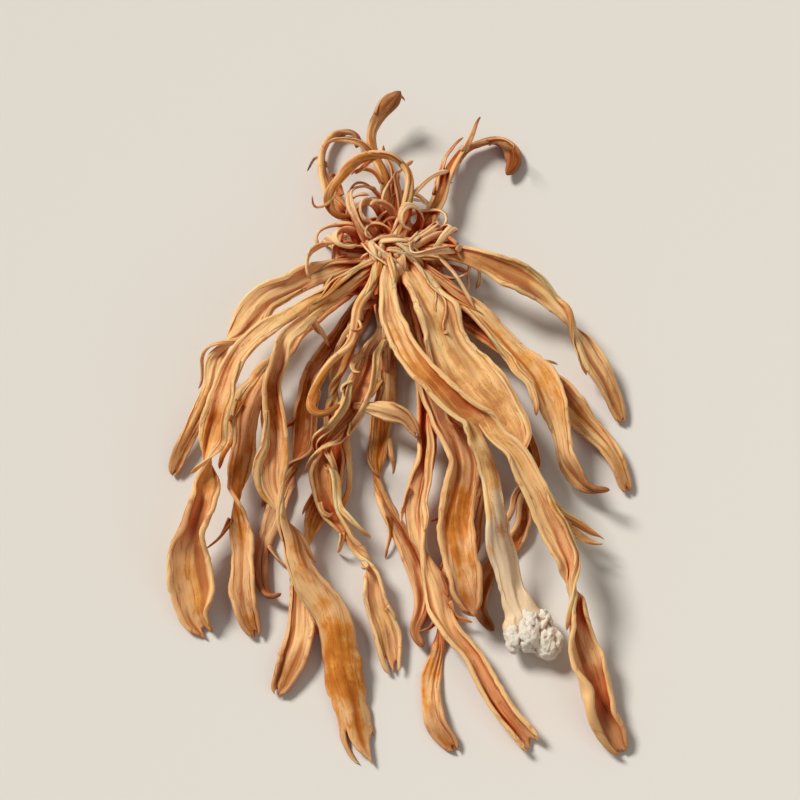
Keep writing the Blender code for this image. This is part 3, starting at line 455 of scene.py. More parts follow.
KNOB_AT = 0.9  # how far before its tip a knob stands
KNOB_SPREAD = 0.6
SWAY_FROM = 3  # over a third of its length a shoot or strand takes up its bends
NARROW_CUP = 0.1
SHOOT_SWAY = Wave(0, 4.5, 0.9)
SHOOT_SWELL = Wave(1, 2.6, 0.22)
SHOOT_TWIST = Wave(2, 6.0, 1.1)
STRAND_SEED = 950
STRAND_WIDTH = (1.1, 1.9)
STRAND_THICK = (0.5, 0.7)
STRAND_FROM = (0.16, 0.42)  # where they leave a stem, as a share of its length
STRAND_SPAN = (0.28, 0.46)  # and how long they are
STRAND_SPREAD = (0.8, 2.6)  # how far from the rim they end
STRAND_HOOK = (-0.6, 2.2)  # how far their ends hook upwards
STRAND_END = 0.78  # where that starts along them
STRAND_SWAY = Wave(960, 4.0, 0.5)
STRAND_LIFT = Wave(970, 5.0, 0.7)
STRAND_ROLL = Wave(980, 9.0, math.radians(70))
STRAND_SWELL = Wave(990, 5.0, 0.3)
COMPANIONS = 2  # narrow stems that come out of the base with each stem
COMPANION_SEED = 700
COMPANION_LENGTH = (9.0, 21.0)
COMPANION_WIDTH = (1.0, 1.9)
COMPANION_THICK = 0.7
COMPANION_LIFT = 0.3  # how far above it they lie
COMPANION_JOIN = 0.6  # from this share of their length on they grow into it
COMPANION_TURN = math.radians(200)  # how far at most they wind round it
COMPANION_TWIST = Wave(0, 0.25, 0.6)

# Painted shade between the narrow stems that cover the base
GAP_SHADE_FROM = 1.03  # what lies further in than this share of the base's middle lump gets painted shade
GAP_SHADE_DEPTH = 0.28  # and what lies this much deeper is wholly in painted shade
ONE_PLACE = 0.0001 * MM  # points closer than this are one

# The base
WINDERS = 30  # narrow stems that wind over the base and dive back into it at both ends
WINDER_SEED = 61
WINDER_STEP = 137.5  # the angle from one to the next
WINDER_SWEEP = (60.0, 150.0)  # how far each goes round
WINDER_WIDTH = (1.1, 2.4)
WINDER_THICK = (0.7, 1.0)
WINDER_LIFT = 1.05  # how far out they lie, as a share of the base's middle lump
WINDER_DIVE = 0.45  # how much further in their ends lie
WINDER_LEVEL = 0.6  # up to this share of the way to their ends they lie on it
WINDER_HEIGHT = (-0.25, 0.95)  # how high their middles lie, from 0 at its middle to 1 at its top
WINDER_LEAN = 1.2  # how far they lean to the side, in radians
WINDER_SWAY = Wave(400, 1 / 3, 0.16)
WINDER_RISE = Wave(430, 0.25, 0.09)
WINDER_SWELL = Wave(460, 0.25, 0.3)
WINDER_TWIST = Wave(490, 0.4, 1.3)

CURLS = 40  # thin curly stems that stand out from the back of the base
CURL_SEED = 67
CURL_SIDE = (10.0, 170.0)  # the directions round it between which they stand
CURL_LENGTH = (9.0, 25.0)
CURL_WIDTH = (1.2, 2.5)
CURL_THICK = 0.85
CURL_HEIGHT = (-0.25, 0.6)  # how steeply they set out
CURL_BEND = (60.0, 330.0)
CURL_START = 0.6  # how far out they start, as a share of the base's middle lump
CURL_KNOB = 0.3  # how much thicker they are at their tips

BRIDGES = 32  # narrow strips that grew between the necks of neighbouring stems
BRIDGE_SEED = 71
BRIDGE_AT = (5.0, 22.0)  # how far along a neck they start and end
BRIDGE_WIDTH = (0.9, 1.8)
BRIDGE_THICK = 0.7
BRIDGE_BOW = (0.3, 2.0)  # how far they bow out
BRIDGE_SWAY = Wave(560, 1 / 3, 0.8)
BRIDGE_SWELL = Wave(590, 0.25, 0.3)
BRIDGE_TWIST = Wave(620, 0.4, 1.2)

# Short cut stubs on the base: direction round it, height of their middle, length, width
STUBS = (
    (30.0, 8.0, 10.5, 2.9),
    (74.0, 7.2, 8.0, 3.6),
    (164.0, 4.6, 10.0, 3.4),
    (348.0, 3.2, 9.5, 2.8),
)
STUB_SHAPE = ((0.0, 1.0), (0.6, 0.85), (0.85, 1.0), (1.0, 1.2))  # how wide one is along it
STUB_RISE = 0.12
STUB_THICK = 1.8
STUB_TWIST = 25.0

EVEN_HOLLOW = 0.1  # how hollow even skin is taken to be
HOLLOW_DEPTH = 0.2  # a hollow this deep, in millimetres, is wholly in painted shade
CRUMB_SIZE = 0.9
MOUND_SIZE = 3.0
LUMP_NOISE = ((1.9, 0.16), (5.3, 0.07))  # how often a lump is uneven, and how much
CRUMB_RISE = 0.2  # how high the crumbs stand, against the depth of the creases
MOUND_RISE = 0.8  # and the mounds
CREASE_LEVEL = 0.7  # how much of that depth lies below the even skin
CREASE_RUN = np.array([1.0, 0.4, 1.0])  # the creases run longer along y
BLOOM_LEVEL = 0.1  # how much bloom even skin has
BLOOM_CHANGES = (0.9, 0.35)  # and how much more the mounds and the crumbs have
BLOOM_MOST = 0.7
CREASE_SIZE = 2.0  # how far apart the creases of a crumpled skin are, in millimetres
CREASE_WIDTH = 0.3
FOOT_HEIGHT = 1.2  # below this height the relief fades, so that the underside stays flat
CORE_SHRINK = 0.9  # how large the lumps under the narrow stems are, against those of the solids
CORE_GRAIN = 1.4  # how large their faces are, against the base grain
CORE_SEED = 300
CORE_ROUNDS = 14  # how often their skin is evened out to find its hollows

# The pale lumps at the end of one branch
PALE_BRANCH = "branch_right_pale"
PALE_CUT = 1.2  # how far before its last knot the branch ends, under the lobes
PALE_SEED = 320
PALE_ROUNDS = 50  # how often their skin is evened out to find the creases between them
PALE_GRAIN = 0.7  # how large their faces are, against the base grain
PALE_SINK = 0.85  # how far above the floor their middles stay, as a share of their height

# A pale lobe: its place along the branch (in knots) and across it (as a share of half its width),
# how high it lies, and its radii across, along and upward
Lobe = namedtuple("Lobe", "at side lift broad long high")
PALE_LOBES = (
    Lobe(6.35, 0.85, 0.2, 1.5, 2.7, 1.9),
    Lobe(6.35, 0.1, 0.9, 2.2, 3.6, 2.4),
    Lobe(6.3, -0.65, 0.5, 1.7, 2.6, 2.0),
    Lobe(7.05, -0.6, 0.5, 2.4, 3.0, 2.5),
    Lobe(6.95, 0.25, 0.3, 2.0, 2.8, 2.2),
)

# The materials
FLESH_TONES = ("Root", "Flesh", "Cream", "Deep", "Hidden", "Tip", "Bloom")
SKIN_OUTPUTS = ("Colour", "Roughness", "Relief")
WHITE = (1, 1, 1, 1)
OCCLUSION_SHADE_REACH = 5.0  # other stems or the floor this near cast painted shade on a place, in millimetres

# Widths and lengths of the flesh's streaks, and sizes of its blotches, in millimetres
BROAD_STREAKS = {"Width": 1.1, "Length": 15.0}
FINE_STREAKS = {"Width": 0.24, "Length": 5.0}
HAIRS = {"Width": 0.07, "Length": 1.7}
BLOTCHES = {"Size": 3.6}
SPECKS = {"Size": 0.45}
PALE_BLOTCHES = {"Size": 1.4}
PALE_SPECKS = {"Size": 0.6}

# The marks of the flesh: the values from and to which each comes in, and its strength
LIGHT = (0.4, 0.58, 0.95)
DARK = (0.46, 0.3, 0.6)
STREAK = (0.48, 0.32, 0.22)
FOLD_SHADE = (0.55, 1.2, 0.8)
RIM_HIGHLIGHT = (0.35, 1.0, 0.85)
SPECK = (0.66, 0.78, 0.3)
VEIN = (0.035, 0.018, 0.5)
# painted shade where other stems or the floor lie near
OCCLUSION_SHADE = (0.94, 0.25, 1.0)
MEAL = (0.55, 1.0, 0.8)
# And those of the pale lumps
# painted shade in the creases of the pale lumps, with mottled dirt
DIRT_AND_SHADE = (0.4, 1.2, 0.9)
PALE_SPECK = (0.58, 0.75, 0.35)

# The stage
FLOOR_SIZE = 30.0
FLOOR_DROP = 0.05 * MM  # how far the floor lies below the tuft
SENSOR = 36.0
AIM_LIFT = 0.3  # the camera aims this share of the tuft's height above the floor
WINDOW_POWER = 3.1
WINDOW_WIDTH = math.radians(18)  # how wide the window looks from the tuft
FILL_POWER = 0.6
FILL_SIZE = 0.5
ROOM_COLOUR = (1.0, 0.95, 0.88)
ROOM_STRENGTH = 0.23


def length_setting(name, description, default, least=0.0):
    """A length that the user can change, given in millimetres."""
    return FloatProperty(
        name=name, description=description, default=default * MM, min=least * MM,
        unit="LENGTH", precision=5,
    )


def angle_setting(name, description, degrees):
    return FloatProperty(
        name=name, description=description, default=math.radians(degrees), subtype="ANGLE"
    )


def share_setting(name, description, default, most):
    return FloatProperty(
        name=name, description=description, default=default, min=0.0, max=most, subtype="FACTOR"
    )


def colour_setting(name, description, default):
    return FloatVectorProperty(
        name=name, description=description, default=default, size=3, subtype="COLOR", min=0, max=1
    )


class TuftSizes(bpy.types.PropertyGroup):
    """Sizes of the tuft's relief."""

    station: length_setting(
        "Station spacing", "Distance between two cross-sections of a stem", 0.40, 0.1
    )
    around: IntProperty(
        name="Points around",
        description="Points across a stem's upper side; its underside has as many",
        default=29, min=9,
    )
    fold: length_setting("Fold depth", "How deep the lengthwise folds of a wide stem are", 0.36)
    skin: length_setting("Skin relief", "How deep the small uneven places of the skin are", 0.04)
    ragged: share_setting(
        "Ragged edge", "How uneven a stem's sides are, as a share of its half width", 0.1, 0.4
    )
    keel: angle_setting("Keel", "How far a stem folds along its middle", 30)
    curl: angle_setting("Rim curl", "How far the rims of a stem roll up as they dry", 85)
    ruffle: angle_setting("Ruffle", "How far the sides of a stem wave up and down", 24)
    grain: length_setting(
        "Base grain", "Size of the faces that the base and the pale lumps are made of", 0.2, 0.1
    )
    crumb: length_setting("Crumb height", "How far the mealy crumbs of the base stand up", 0.32)


class TuftColours(bpy.types.PropertyGroup):
    """Colours of the dried flesh, with the tints of its painted shade."""

    straw: colour_setting("Straw", "Flesh of the palest stems", (0.86, 0.53, 0.20))
    gold: colour_setting("Gold", "Flesh of most stems", (0.80, 0.39, 0.09))
    amber: colour_setting("Amber", "Flesh of the browner stems", (0.68, 0.265, 0.038))
    russet: colour_setting("Russet", "Flesh of the thin dark stems", (0.52, 0.15, 0.016))
    # on the rims this cream is a painted highlight
    cream: colour_setting(
        "Cream", "Stretched, bleached skin on the flats and rims", (0.91, 0.64, 0.35)
    )
    mealy: colour_setting(
        "Mealy white", "The mealy white bloom of the pale lumps", (0.80, 0.75, 0.65)
    )
    # Deep darkens the streaks, specks and veins, and is the painted shade in the folds and gaps
    deep: colour_setting("Deep", "Flesh in the folds", (0.35, 0.05, 0.002))
    # the tint of the painted shade where other stems or the floor lie near
    occlusion_shade: colour_setting(
        "Hidden tint", "What colours the flesh where other stems hide it", (0.67, 0.155, 0.03)
    )
    tip: colour_setting("Tip", "Curled dark tips", (0.24, 0.055, 0.009))


class TuftStage(bpy.types.PropertyGroup):
    """The floor, the lights and the camera."""

    floor: colour_setting("Floor colour", "Colour of the plain floor", (0.76, 0.74, 0.70))
    elevation: angle_setting(
        "Camera elevation", "How far above the floor the camera looks down", 65
    )
    lens: FloatProperty(
        name="Lens", description="Focal length of the camera", default=70.0, min=10.0, unit="CAMERA"
    )
    margin: share_setting(
        "Margin", "Share of the picture's height left free around the tuft", 0.13, 0.8
    )


# Routes, as in the solids


def between(knots, at):
    """The knot at a place along a route: 0 is its first knot, 1 its second, and so on."""
    last = len(knots) - 1
    if at < 0:
        return Knot(*(a + (b - a) * at for a, b in zip(knots[0], knots[1])))
    if at > last:
        before = between(knots, last - NUDGE)
        share = (at - last) / NUDGE
        return Knot(*(b + (b - a) * share for a, b in zip(before, knots[last])))
    span = min(int(at), last - 1)
    t = at - span
    values = []
    for a, b, c, d in zip(*(knots[min(max(span + i, 0), last)] for i in (-1, 0, 1, 2))):
        curve = (2 * a - 5 * b + 4 * c - d) * t**2 + (3 * b - a - 3 * c + d) * t**3
        values.append(b + 0.5 * ((c - a) * t + curve))
    return Knot(*values)


def lively(knots, at, seed):
    """The knot at a place, wandering a little in place, width and roll, but not near the ends."""
    knot = between(knots, at)
    free = max(0.0, min(1.0, at - 1, len(knots) - 1 - at))
    apart, further = WANDER_SEEDS
    spots = [Vector((at * WANDER_RATE, seed * apart, i * further)) for i in range(5)]
    drift = [free * noise.noise(spot) for spot in spots]
    return Knot(
        knot.x + WANDER * drift[0],
        knot.y + WANDER * drift[1],
        knot.z + WANDER * drift[2] / 2,
        knot.width * (1 + WIDTH_CHANGE * drift[3]),
        knot.thick,
        knot.roll + ROLL_CHANGE * drift[4],
    )


def place_at_length(knots, length):
    """The place where a route is this long, in millimetres."""
    here = Vector(between(knots, 0)[:3])
    for i in range(1, (len(knots) - 1) * FINE + 1):
        at = i / FINE
        there = Vector(between(knots, at)[:3])
        step = (there - here).length
        if step >= length:
            return at - (1 - length / step) / FINE
        length -= step
        here = there
    raise ValueError("the route is shorter than that")


def direction_at(knots, at):
    spans = float(len(knots) - 1)
    at = min(max(at, 0.0), spans)
    low = max(0.0, at - NUDGE)
    high = min(spans, at + NUDGE)
    return (Vector(between(knots, high)[:3]) - Vector(between(knots, low)[:3])).normalized()


def frames_of(route, places):
    """(direction, width direction, upward direction) at each place, before the stem's own roll."""
    knots, across = route
    along = direction_at(knots, 0)
    if across is None:
        across = along.cross(Vector((0, 0, 1))).normalized()
    frames = []
    wanted = set(places)
    for at in sorted(wanted | {i / FINE for i in range((len(knots) - 1) * FINE + 1)}):
        turned = direction_at(knots, at)
        across = along.rotation_difference(turned) @ across
        across = (across - across.dot(turned) * turned).normalized()
        along = turned
        if at in wanted:
            frames.append((along.copy(), across.copy(), across.cross(along)))
    return frames


def rolled(way, knot):
    """The width and upward directions, turned by the knot's roll."""
    along, across, up = way
    turn = Matrix.Rotation(math.radians(knot.roll), 3, along)
    return turn @ across, turn @ up


def last_of(route):
    return float(len(route.knots) - 1)


def fork_start(parent, side, width):
    """The first knots of a branch at its parent's end, and the parent's width direction there."""
    end = parent.knots[-1]
    way = frames_of(parent, [last_of(parent)])[0]
    wide = rolled(way, end)[0]
    start = Vector(end[:3]) + way[0] * GAP + wide * side * (end.width - width) / 2
    onward = start + way[0] * FORK_RUN
    return [Knot(*point, width, end.thick, 0) for point in (start, onward)], wide


def grown_routes():
    """Every stem's route, with the start that a branch takes from its parent."""
    grown = {}
    for stem in STEMS:
        start, across = [], None
        if stem.side:
            parent = grown[stem.parent]
            start, across = fork_start(parent, stem.side, (parent.knots[-1].width - GAP) / 2)
        grown[stem.name] = Route(start + list(stem.route), across)
    return grown


GROWN = grown_routes()


# Noise and blending over arrays


def smooth(share):
    """0 to 1, easing in and out, and level beyond."""
    share = np.clip(share, 0.0, 1.0)
    return share * share * (3 - 2 * share)


def rise(values, low, high):
    """From 0 at the low value to 1 at the high one, easing in and out."""
    return smooth((values - low) / (high - low))


def soft_noise(seed, x, y):
    """Smooth noise from -1 to 1 over a plane, the same each time for the same seed."""
    cells = 64
    table = np.random.default_rng(seed).uniform(-1, 1, (cells, cells))
    x, y = np.broadcast_arrays(np.asarray(x, float), np.asarray(y, float))
    left = np.floor(x).astype(int)
    low = np.floor(y).astype(int)
    across = smooth(x - left)
    upward = smooth(y - low)
    corners = [table[(left + i) % cells, (low + j) % cells] for i in (0, 1) for j in (0, 1)]
    near = corners[0] + (corners[1] - corners[0]) * upward
    far = corners[2] + (corners[3] - corners[2]) * upward
    return near + (far - near) * across


def wave_of(wave, seed, length):
    """A slow change at each length."""
    return wave.strength * soft_noise(seed + wave.seed, length / wave.size, wave.row)


def column(values):
    """Values as a column, one for each station."""
    return np.reshape(values, (-1, 1))


def unit(rows):
    return rows / column(np.linalg.norm(rows, axis=1))


def evened(values, spread):
    """Rows of values, evened out over some stations, with both ends kept where they are."""
    reach = max(1, int(3 * spread))
    weights = np.exp(-0.5 * (np.arange(-reach, reach + 1) / spread) ** 2)
    weights /= weights.sum()
    before = 2 * values[0] - values[1 : reach + 1][::-1]
    after = 2 * values[-1] - values[-reach - 1 : -1][::-1]
    padded = np.concatenate((before, values, after))
    return np.stack([np.convolve(row, weights, "valid") for row in padded.T], axis=1)


def read_at(values, row, place):
    """Values of a grid at fractional rows, and at fractional places in them."""
    row, place = np.broadcast_arrays(row, place)
    low = np.clip(np.floor(row).astype(int), 0, len(values) - 2)
    left = np.clip(np.floor(place).astype(int), 0, values.shape[1] - 2)
    part = row - low
    share = place - left
    if values.ndim == 3:
        part = part[..., None]
        share = share[..., None]
    near = values[low, left] * (1 - share) + values[low, left + 1] * share
    far = values[low + 1, left] * (1 - share) + values[low + 1, left + 1] * share
    return near * (1 - part) + far * part


# Cross-sections

# What a stem is at each of its stations: length along it, place, width and upward directions,
# width and thickness, all in millimetres, and its face: 1, or -1 where it has turned over
Line = namedtuple("Line", "length place wide up width thick face", defaults=(1.0,))
# Where the fibres of a stem run: shift across, shift along, the stem that they come from, and how
# far each station still has that stem's shade
Grain = namedtuple("Grain", "across along source held", defaults=(0.0,))


def left_of(line):
    """The length that is left from each station to the tip."""
    return line.length[-1] - line.length


def run_along(path):
    """The length from the first of a row of places to each of them."""
    steps = np.linalg.norm(np.diff(path, axis=0), axis=1)
    return np.concatenate(([0.0], np.cumsum(steps)))


def line_of(route, seed, station, first, last):
    """The stations of a stem, evenly spaced along a stretch of its route."""
    fine = np.linspace(first, last, FINE_PATH + 1)
    run = run_along(np.array([lively(route.knots, float(at), seed)[:3] for at in fine]))
    count = max(LEAST_STEPS, round(run[-1] / station))
    lengths = np.linspace(0.0, run[-1], count + 1)
    places = [float(at) for at in np.interp(lengths, run, fine)]
    there = [lively(route.knots, at, seed) for at in places]
    wide = [rolled(way, knot)[0] for way, knot in zip(frames_of(route, places), there)]
    there = np.array(there)
    spread = min(EVEN_PATH * (count / run[-1]), count / EVEN_LIMIT)
    place = evened(there[:, :3], spread)
    along = unit(np.gradient(place, axis=0))
    wide = evened(np.array(wide), spread)
    wide = unit(wide - column((wide * along).sum(axis=1)) * along)
    thick = np.minimum(there[:, 4], FLESH_LIMIT)
    return Line(lengths, place, wide, np.cross(wide, along), there[:, 3], thick)


def stem_line(route, seed, sizes, first, last):
    """A line with small bends to and fro, but not at its ends."""
    line = line_of(route, seed, sizes.station / MM, first, last)
    left = left_of(line)
    start = rise(line.length, HIDDEN_ROOT, HIDDEN_ROOT + CALM_START)
    calm = column(start * smooth(left / CALM_END))
    sway = line.wide * column(wave_of(SMALL_SWAY, seed, left))
    lift = line.up * column(wave_of(SMALL_LIFT, seed, left))
    return line._replace(place=line.place + calm * (sway + lift))


def turned_over(line, stem):
    """A line that turns over at its twists, where it is narrow and stands on its side."""
    left = left_of(line)
    turn = np.zeros(len(left))
    narrow = np.ones(len(left))
    for number, place in enumerate(stem.twists):
        way = 1 if (number + SEEDS[stem.name]) % 2 else -1
        turn += way * math.pi * smooth((place - left) / TWIST_RUN + 0.5)
        narrow -= TWIST_NARROW * np.exp(-(((left - place) / TWIST_SPREAD) ** 2))
    width = line.width * narrow
    place = line.place.copy()
    place[:, 2] = np.maximum(place[:, 2], TWIST_STAND * width * np.abs(np.sin(turn)))
    level = column(np.cos(turn))
    upright = column(np.sin(turn))
    wide = line.wide * level + line.up * upright
    up = line.up * level - line.wide * upright
    return line._replace(place=place, wide=wide, up=up, width=width, face=np.cos(turn))


def across_points(count):
    """Places across a stem from -1 to 1, closer together towards its rims."""
    share = np.linspace(0.0, 1.0, count)
    return 0.5 * (2 * share - 1) - 0.5 * np.cos(math.pi * share)


def folds_of(seed, lengths, across, number, slender):
    """Lengthwise folds that drift to the side, rise and fade: about -1 to 1."""
    rng = np.random.default_rng(seed)
    total = np.zeros((len(lengths), len(across)))
    for i in range(number):
        middle = rng.uniform(*FOLD_PLACE) + wave_of(FOLD_DRIFT, seed + i, lengths)
        spread = rng.uniform(*FOLD_SPREAD) * slender
        shape = np.exp(-(((across - column(middle)) / spread) ** 2))
        strength = column(wave_of(FOLD_RISE, seed + i, lengths))
        total += strength * shape * rng.uniform(*FOLD_STRENGTH)
    return total


def summed(values, steps):
    """The sum of a value over the steps between a row's points, from its first point on."""
    parts = (values[:, 1:] + values[:, :-1]) / 2 * steps
    return np.cumsum(np.c_[np.zeros((len(steps), 1)), parts], axis=1)


def midline_of(line, across, cup, seed, sizes, furl):
    """The middle of the flesh across a stem: sideways, upward, and its slope, at each station."""

    def change(wave, way=0):
        return column(wave_of(wave, seed + way, line.length))

    out = np.abs(across)
    width = column(line.width)
    face = column(line.face)
    flat = column(rise(line.width / line.thick, *FLAT_RATIO))
    keel = flat * sizes.keel * change(KEEL)
    crease = change(CREASE)
    gather = smooth(0.5 + change(GATHER)) * flat
    folding = GATHER_FOLD * np.sign(wave_of(GATHER_SIDE, seed, 0.5))
    slope = np.arctan(4 * cup * across) + keel * np.tanh((across - crease) / KEEL_SHARP)
    slope = slope + gather * folding * np.tanh((across + crease) / GATHER_SHARP)
    for way in (-1, 1):
        here = (np.sign(across) == way) * flat * way
        rolling = CURL_MEAN + change(ROLLING, way)
        slope = slope + here * sizes.ruffle * change(RUFFLE, way) * out**RUFFLE_RISE
        slope = slope + here * sizes.curl * rolling * rise(out, *CURL_BAND)
        slope = slope + here * column(furl) * rise(out, *FURL_BAND)
    slope = slope * face
    steps = np.diff(across) * width / 2
    x = summed(np.cos(slope), steps)
    z = summed(np.sin(slope), steps)
    x -= column(x.max(axis=1) + x.min(axis=1)) / 2
    z -= column(z[:, len(across) // 2])
    x *= width * (1 - GATHER_NARROW * gather) / column(np.maximum(np.ptp(x, axis=1), LEAST_SPAN))
    for way in (-1, 1):
        here = (np.sign(across) == way) * flat * rise(out, *RAGGED_BAND)
        nick = NICK_DEPTH * rise(change(NICK, way), *NICK_LEVELS)
        edge = change(EDGE, way) + change(FINE_EDGE, way) - nick
        x = x * (1 + here * sizes.ragged * edge)
    return x, z - CUP_LEVEL * cup * width * face, slope


def half_thickness(line, across, seed):
    """Half the thickness of the flesh: a wide stem is thin in its middle, and has beaded rims."""
    out = np.abs(across)
    ratio = column(line.width / line.thick)
    bead = np.exp(-(((out - BEAD_AT) / BEAD_SPREAD) ** 2))
    left, right = (column(wave_of(wave, seed, line.length)) for wave in BEADS)
    change = (BEAD_RISE + np.where(across < 0, left, right)) * bead - MIDDLE_THIN
    body = 1 + rise(ratio, *THIN_RATIO) * change
    power = np.clip(2 * ratio, *RIM_POWERS)
    return column(line.thick) / 2 * body * np.sqrt(np.clip(1 - out**power, 0.0, 1.0))


def skins_of(line, across, cup, seed, sizes, narrow=1.0, close=1.0, furl=0.0):
    """The upper and the under skin of a stem, as rows of places across it, and their hollows.

    Its width and thickness can close towards its ends, and it can roll up.
    """
    x, z, slope = midline_of(line, across, cup, seed, sizes, furl)
    narrow = column(narrow)
    close = column(close)
    x = x * np.maximum(narrow, LEAST_NARROW)
    half = half_thickness(line, across, seed) * close
    depth = sizes.fold / MM * column(np.minimum(1.0, line.width / FULL_FOLDS)) * narrow
    number, slender = SLIM_FOLDS if line.width.max() < SLIM else FOLDS
    rims = smooth((1 - np.abs(across)) / FOLD_RIM)
    shared = folds_of(seed * 7 + 1, line.length, across, number, slender)
    z = z + shared * depth * rims
    along = column(line.length)
    spot = across * column(line.width) / 2
    skins = []
    hollows = []
    for way in (1, -1):
        own = folds_of(seed * 7 + 3 + way, line.length, across, number + 1, slender * OWN_WIDTH)
        small = soft_noise(seed + 20 + way, spot / FINE_SKIN[0], along / FINE_SKIN[1])
        broad = soft_noise(seed + 30 + way, spot / BROAD_SKIN[0], along / BROAD_SKIN[1])
        small = small + BROAD_SHARE * broad
        relief = own * OWN_FOLDS * depth + small * sizes.skin / MM * narrow
        thickness = np.maximum(half + relief * rims, THINNEST * close) * (half > 0)
        aside = (x - np.sin(slope) * thickness * way)[..., None]
        above = (z + np.cos(slope) * thickness * way)[..., None]
        skins.append(line.place[:, None] + line.wide[:, None] * aside + line.up[:, None] * above)
        # the hollows of the folds, which the material darkens as painted shade
        hollows.append(smooth(HOLLOW_LEVEL - way * shared * HOLLOW_SHARED - own * HOLLOW_OWN))
    return skins, hollows


def rounded(left, reach):
    """How far a round end has opened at each length from it, from 0 to 1."""
    return np.sqrt(np.clip(1 - (1 - np.minimum(left / reach, 1)) ** 2, 0.0, 1.0))


def tip_closing(tip, line):
    """How a stem's width and thickness close towards its tip."""
    opening = rounded(left_of(line), tip.taper)
    edge = rounded(left_of(line), TIP_EDGE)
    return opening + (1 - opening) * tip.square, np.minimum(edge, opening + tip.square)


def furl_of(tip, line):
    """How far a stem is rolled up at each station, in radians."""
    return math.radians(tip.furl) * (1 - smooth(left_of(line) / tip.reach))


def torn(tip, skins, line, across, seed):
    """Both skins of a stem, drawn back along it where its tip is torn, and joined there."""
    if not tip.tear:
        return skins
    left = left_of(line)
    first, shift = TEAR_START
    mean, change = TEAR_DEPTH
    phase = (across * tip.tongues / 2 + first + shift * seed) % 1.0
    wedge = np.abs(2 * phase - 1) * (mean + change * soft_noise(seed + 90, across * 4, 7.5))
    reach = column(1 - smooth(left / (TEAR_DRAW * tip.tear + TEAR_LEAST)))
    pull = tip.tear * reach * np.clip(wedge, 0, 1)
    row = (column(line.length) - pull) / (line.length[1] - line.length[0])
    row = np.clip(row, 0, len(line.length) - 1)
    upper, under = (read_at(skin, row, np.arange(len(across))) for skin in skins)
    middle = (upper + under) / 2
    edge = rounded(left, TORN_EDGE)[:, None, None]
    return middle + (upper - middle) * edge, middle + (under - middle) * edge


def on_floor(places):
    """What would reach below the floor lies on it, and what would stand too high bends down."""
    z = places[..., 2]
    z = np.where(z > SOFT_LIMIT, z, SOFT_LIMIT * np.exp(np.minimum(z / SOFT_LIMIT - 1, 0)))
    high = CAD_BOX[1][2] / MM - SOFT_LIMIT
    over = SOFT_LIMIT * (1 - np.exp(np.minimum((high - z) / SOFT_LIMIT, 0)))
    places[..., 2] = np.where(z < high, z, high + over)
    return places


def in_place(places):
    """From millimetres about the base's foot to metres in the object's frame."""
    return (places + FOOT) * MM


def joined_rings(upper, under):
    """Rows across the upper skin and back under it, as closed rings."""
    return np.concatenate((upper, under[:, -2:0:-1]), axis=1)


def layers_of(tip, line, across, hollows, run, grain, seed):
    """What the materials read at each point: see dried_flesh."""
    along = column(line.length)
    left = column(left_of(line))
    flat = np.zeros((len(along), len(across)))
    uneven = soft_noise(seed + 11, along / END_NOISE[0], across / END_NOISE[1])
    end = smooth(1 + END_FULL - left / (tip.reach * (1 + END_CHANGE * uneven)))
    # Painted shade: the thin middle of a wide stem, between its rims, is drawn darker through its
    # slow shade
    thin = 1 - smooth(np.abs(across) / MEMBRANE_BAND)
    thin = thin * column(rise(line.width, *MEMBRANE_WIDTH))
    if tip is FORKED:
        thin = thin * smooth(left / FORK_PALE)
    own = wave_of(SHADE, seed, along)
    source = wave_of(SHADE, grain.source, along + grain.along)
    shade = own + (source - own) * column(grain.held) - MIDDLE_PAINTED_SHADE * thin
    # the rims, which the material lightens as a painted highlight
    rim = rise(np.abs(across), *RIM_HIGHLIGHT_BAND) + flat
    spot = across * column(line.width) / 2 + grain.across
    patch = np.stack((end * tip.dark, end * tip.pale, shade), axis=-1)
    fibre = np.stack((spot, along + grain.along + flat, STEM_APART * grain.source + flat), axis=-1)
    growth = [np.stack((column(run) + flat, hollow, rim), axis=-1) for hollow in hollows]
    return {
        "growth": joined_rings(*growth),
        "patch": joined_rings(patch, patch),
        "fibre": joined_rings(fibre, fibre),
    }


def sheet_of(tip, line, across, skins, hollows, run, grain, seed):
    """A stem's rings, torn at its tip, and what the materials read on them."""
    rings = joined_rings(*torn(tip, skins, line, across, seed))
    return rings, layers_of(tip, line, across, hollows, run, grain, seed)


def stem_sheet(stem, seed, sizes):
    """A stem from inside the base, or a side blade from inside its parent, to its tip."""
    route = GROWN[stem.name]
    if stem.root:
        first = place_at_length(route.knots, stem.root - HIDDEN_ROOT)
    else:
        first = -HIDDEN_SPUR / (Vector(route.knots[1][:3]) - Vector(route.knots[0][:3])).length
    line = turned_over(stem_line(route, seed, sizes, first, last_of(route)), stem)
    narrow, close = tip_closing(stem.tip, line)
    run = smooth(line.length / ROOT_RUN)
    if stem.tip is FORKED:
        close = smooth(left_of(line) / FORK_CLOSE + FORK_OPEN)
        run = run * smooth(left_of(line) / FORK_PALE)
    across = across_points(sizes.around)
    furl = furl_of(stem.tip, line)
    skins, hollows = skins_of(line, across, stem.cup, seed, sizes, narrow, close, furl)
    return sheet_of(stem.tip, line, across, skins, hollows, run, Grain(0.0, 0.0, seed), seed)


def extended(route, seed, sizes, first, beyond):
    """A forked stem's line, run on straight past its end, and the length up to that end."""
    inner = stem_line(route, seed, sizes, first, last_of(route))
    steps = int(beyond / (sizes.station / MM))
    onward = column(np.arange(1, steps + 1)) * (inner.length[1] - inner.length[0])
    direction = unit(np.gradient(inner.place, axis=0))[-1:]
    place = np.concatenate((inner.place, inner.place[-1:] + direction * onward))
    length = np.concatenate((inner.length, inner.length[-1] + onward[:, 0]))
    same = [np.concatenate((v, np.repeat(v[-1:], steps, axis=0))) for v in inner[2:6]]
    return Line(length, place, *same), inner.length[-1]


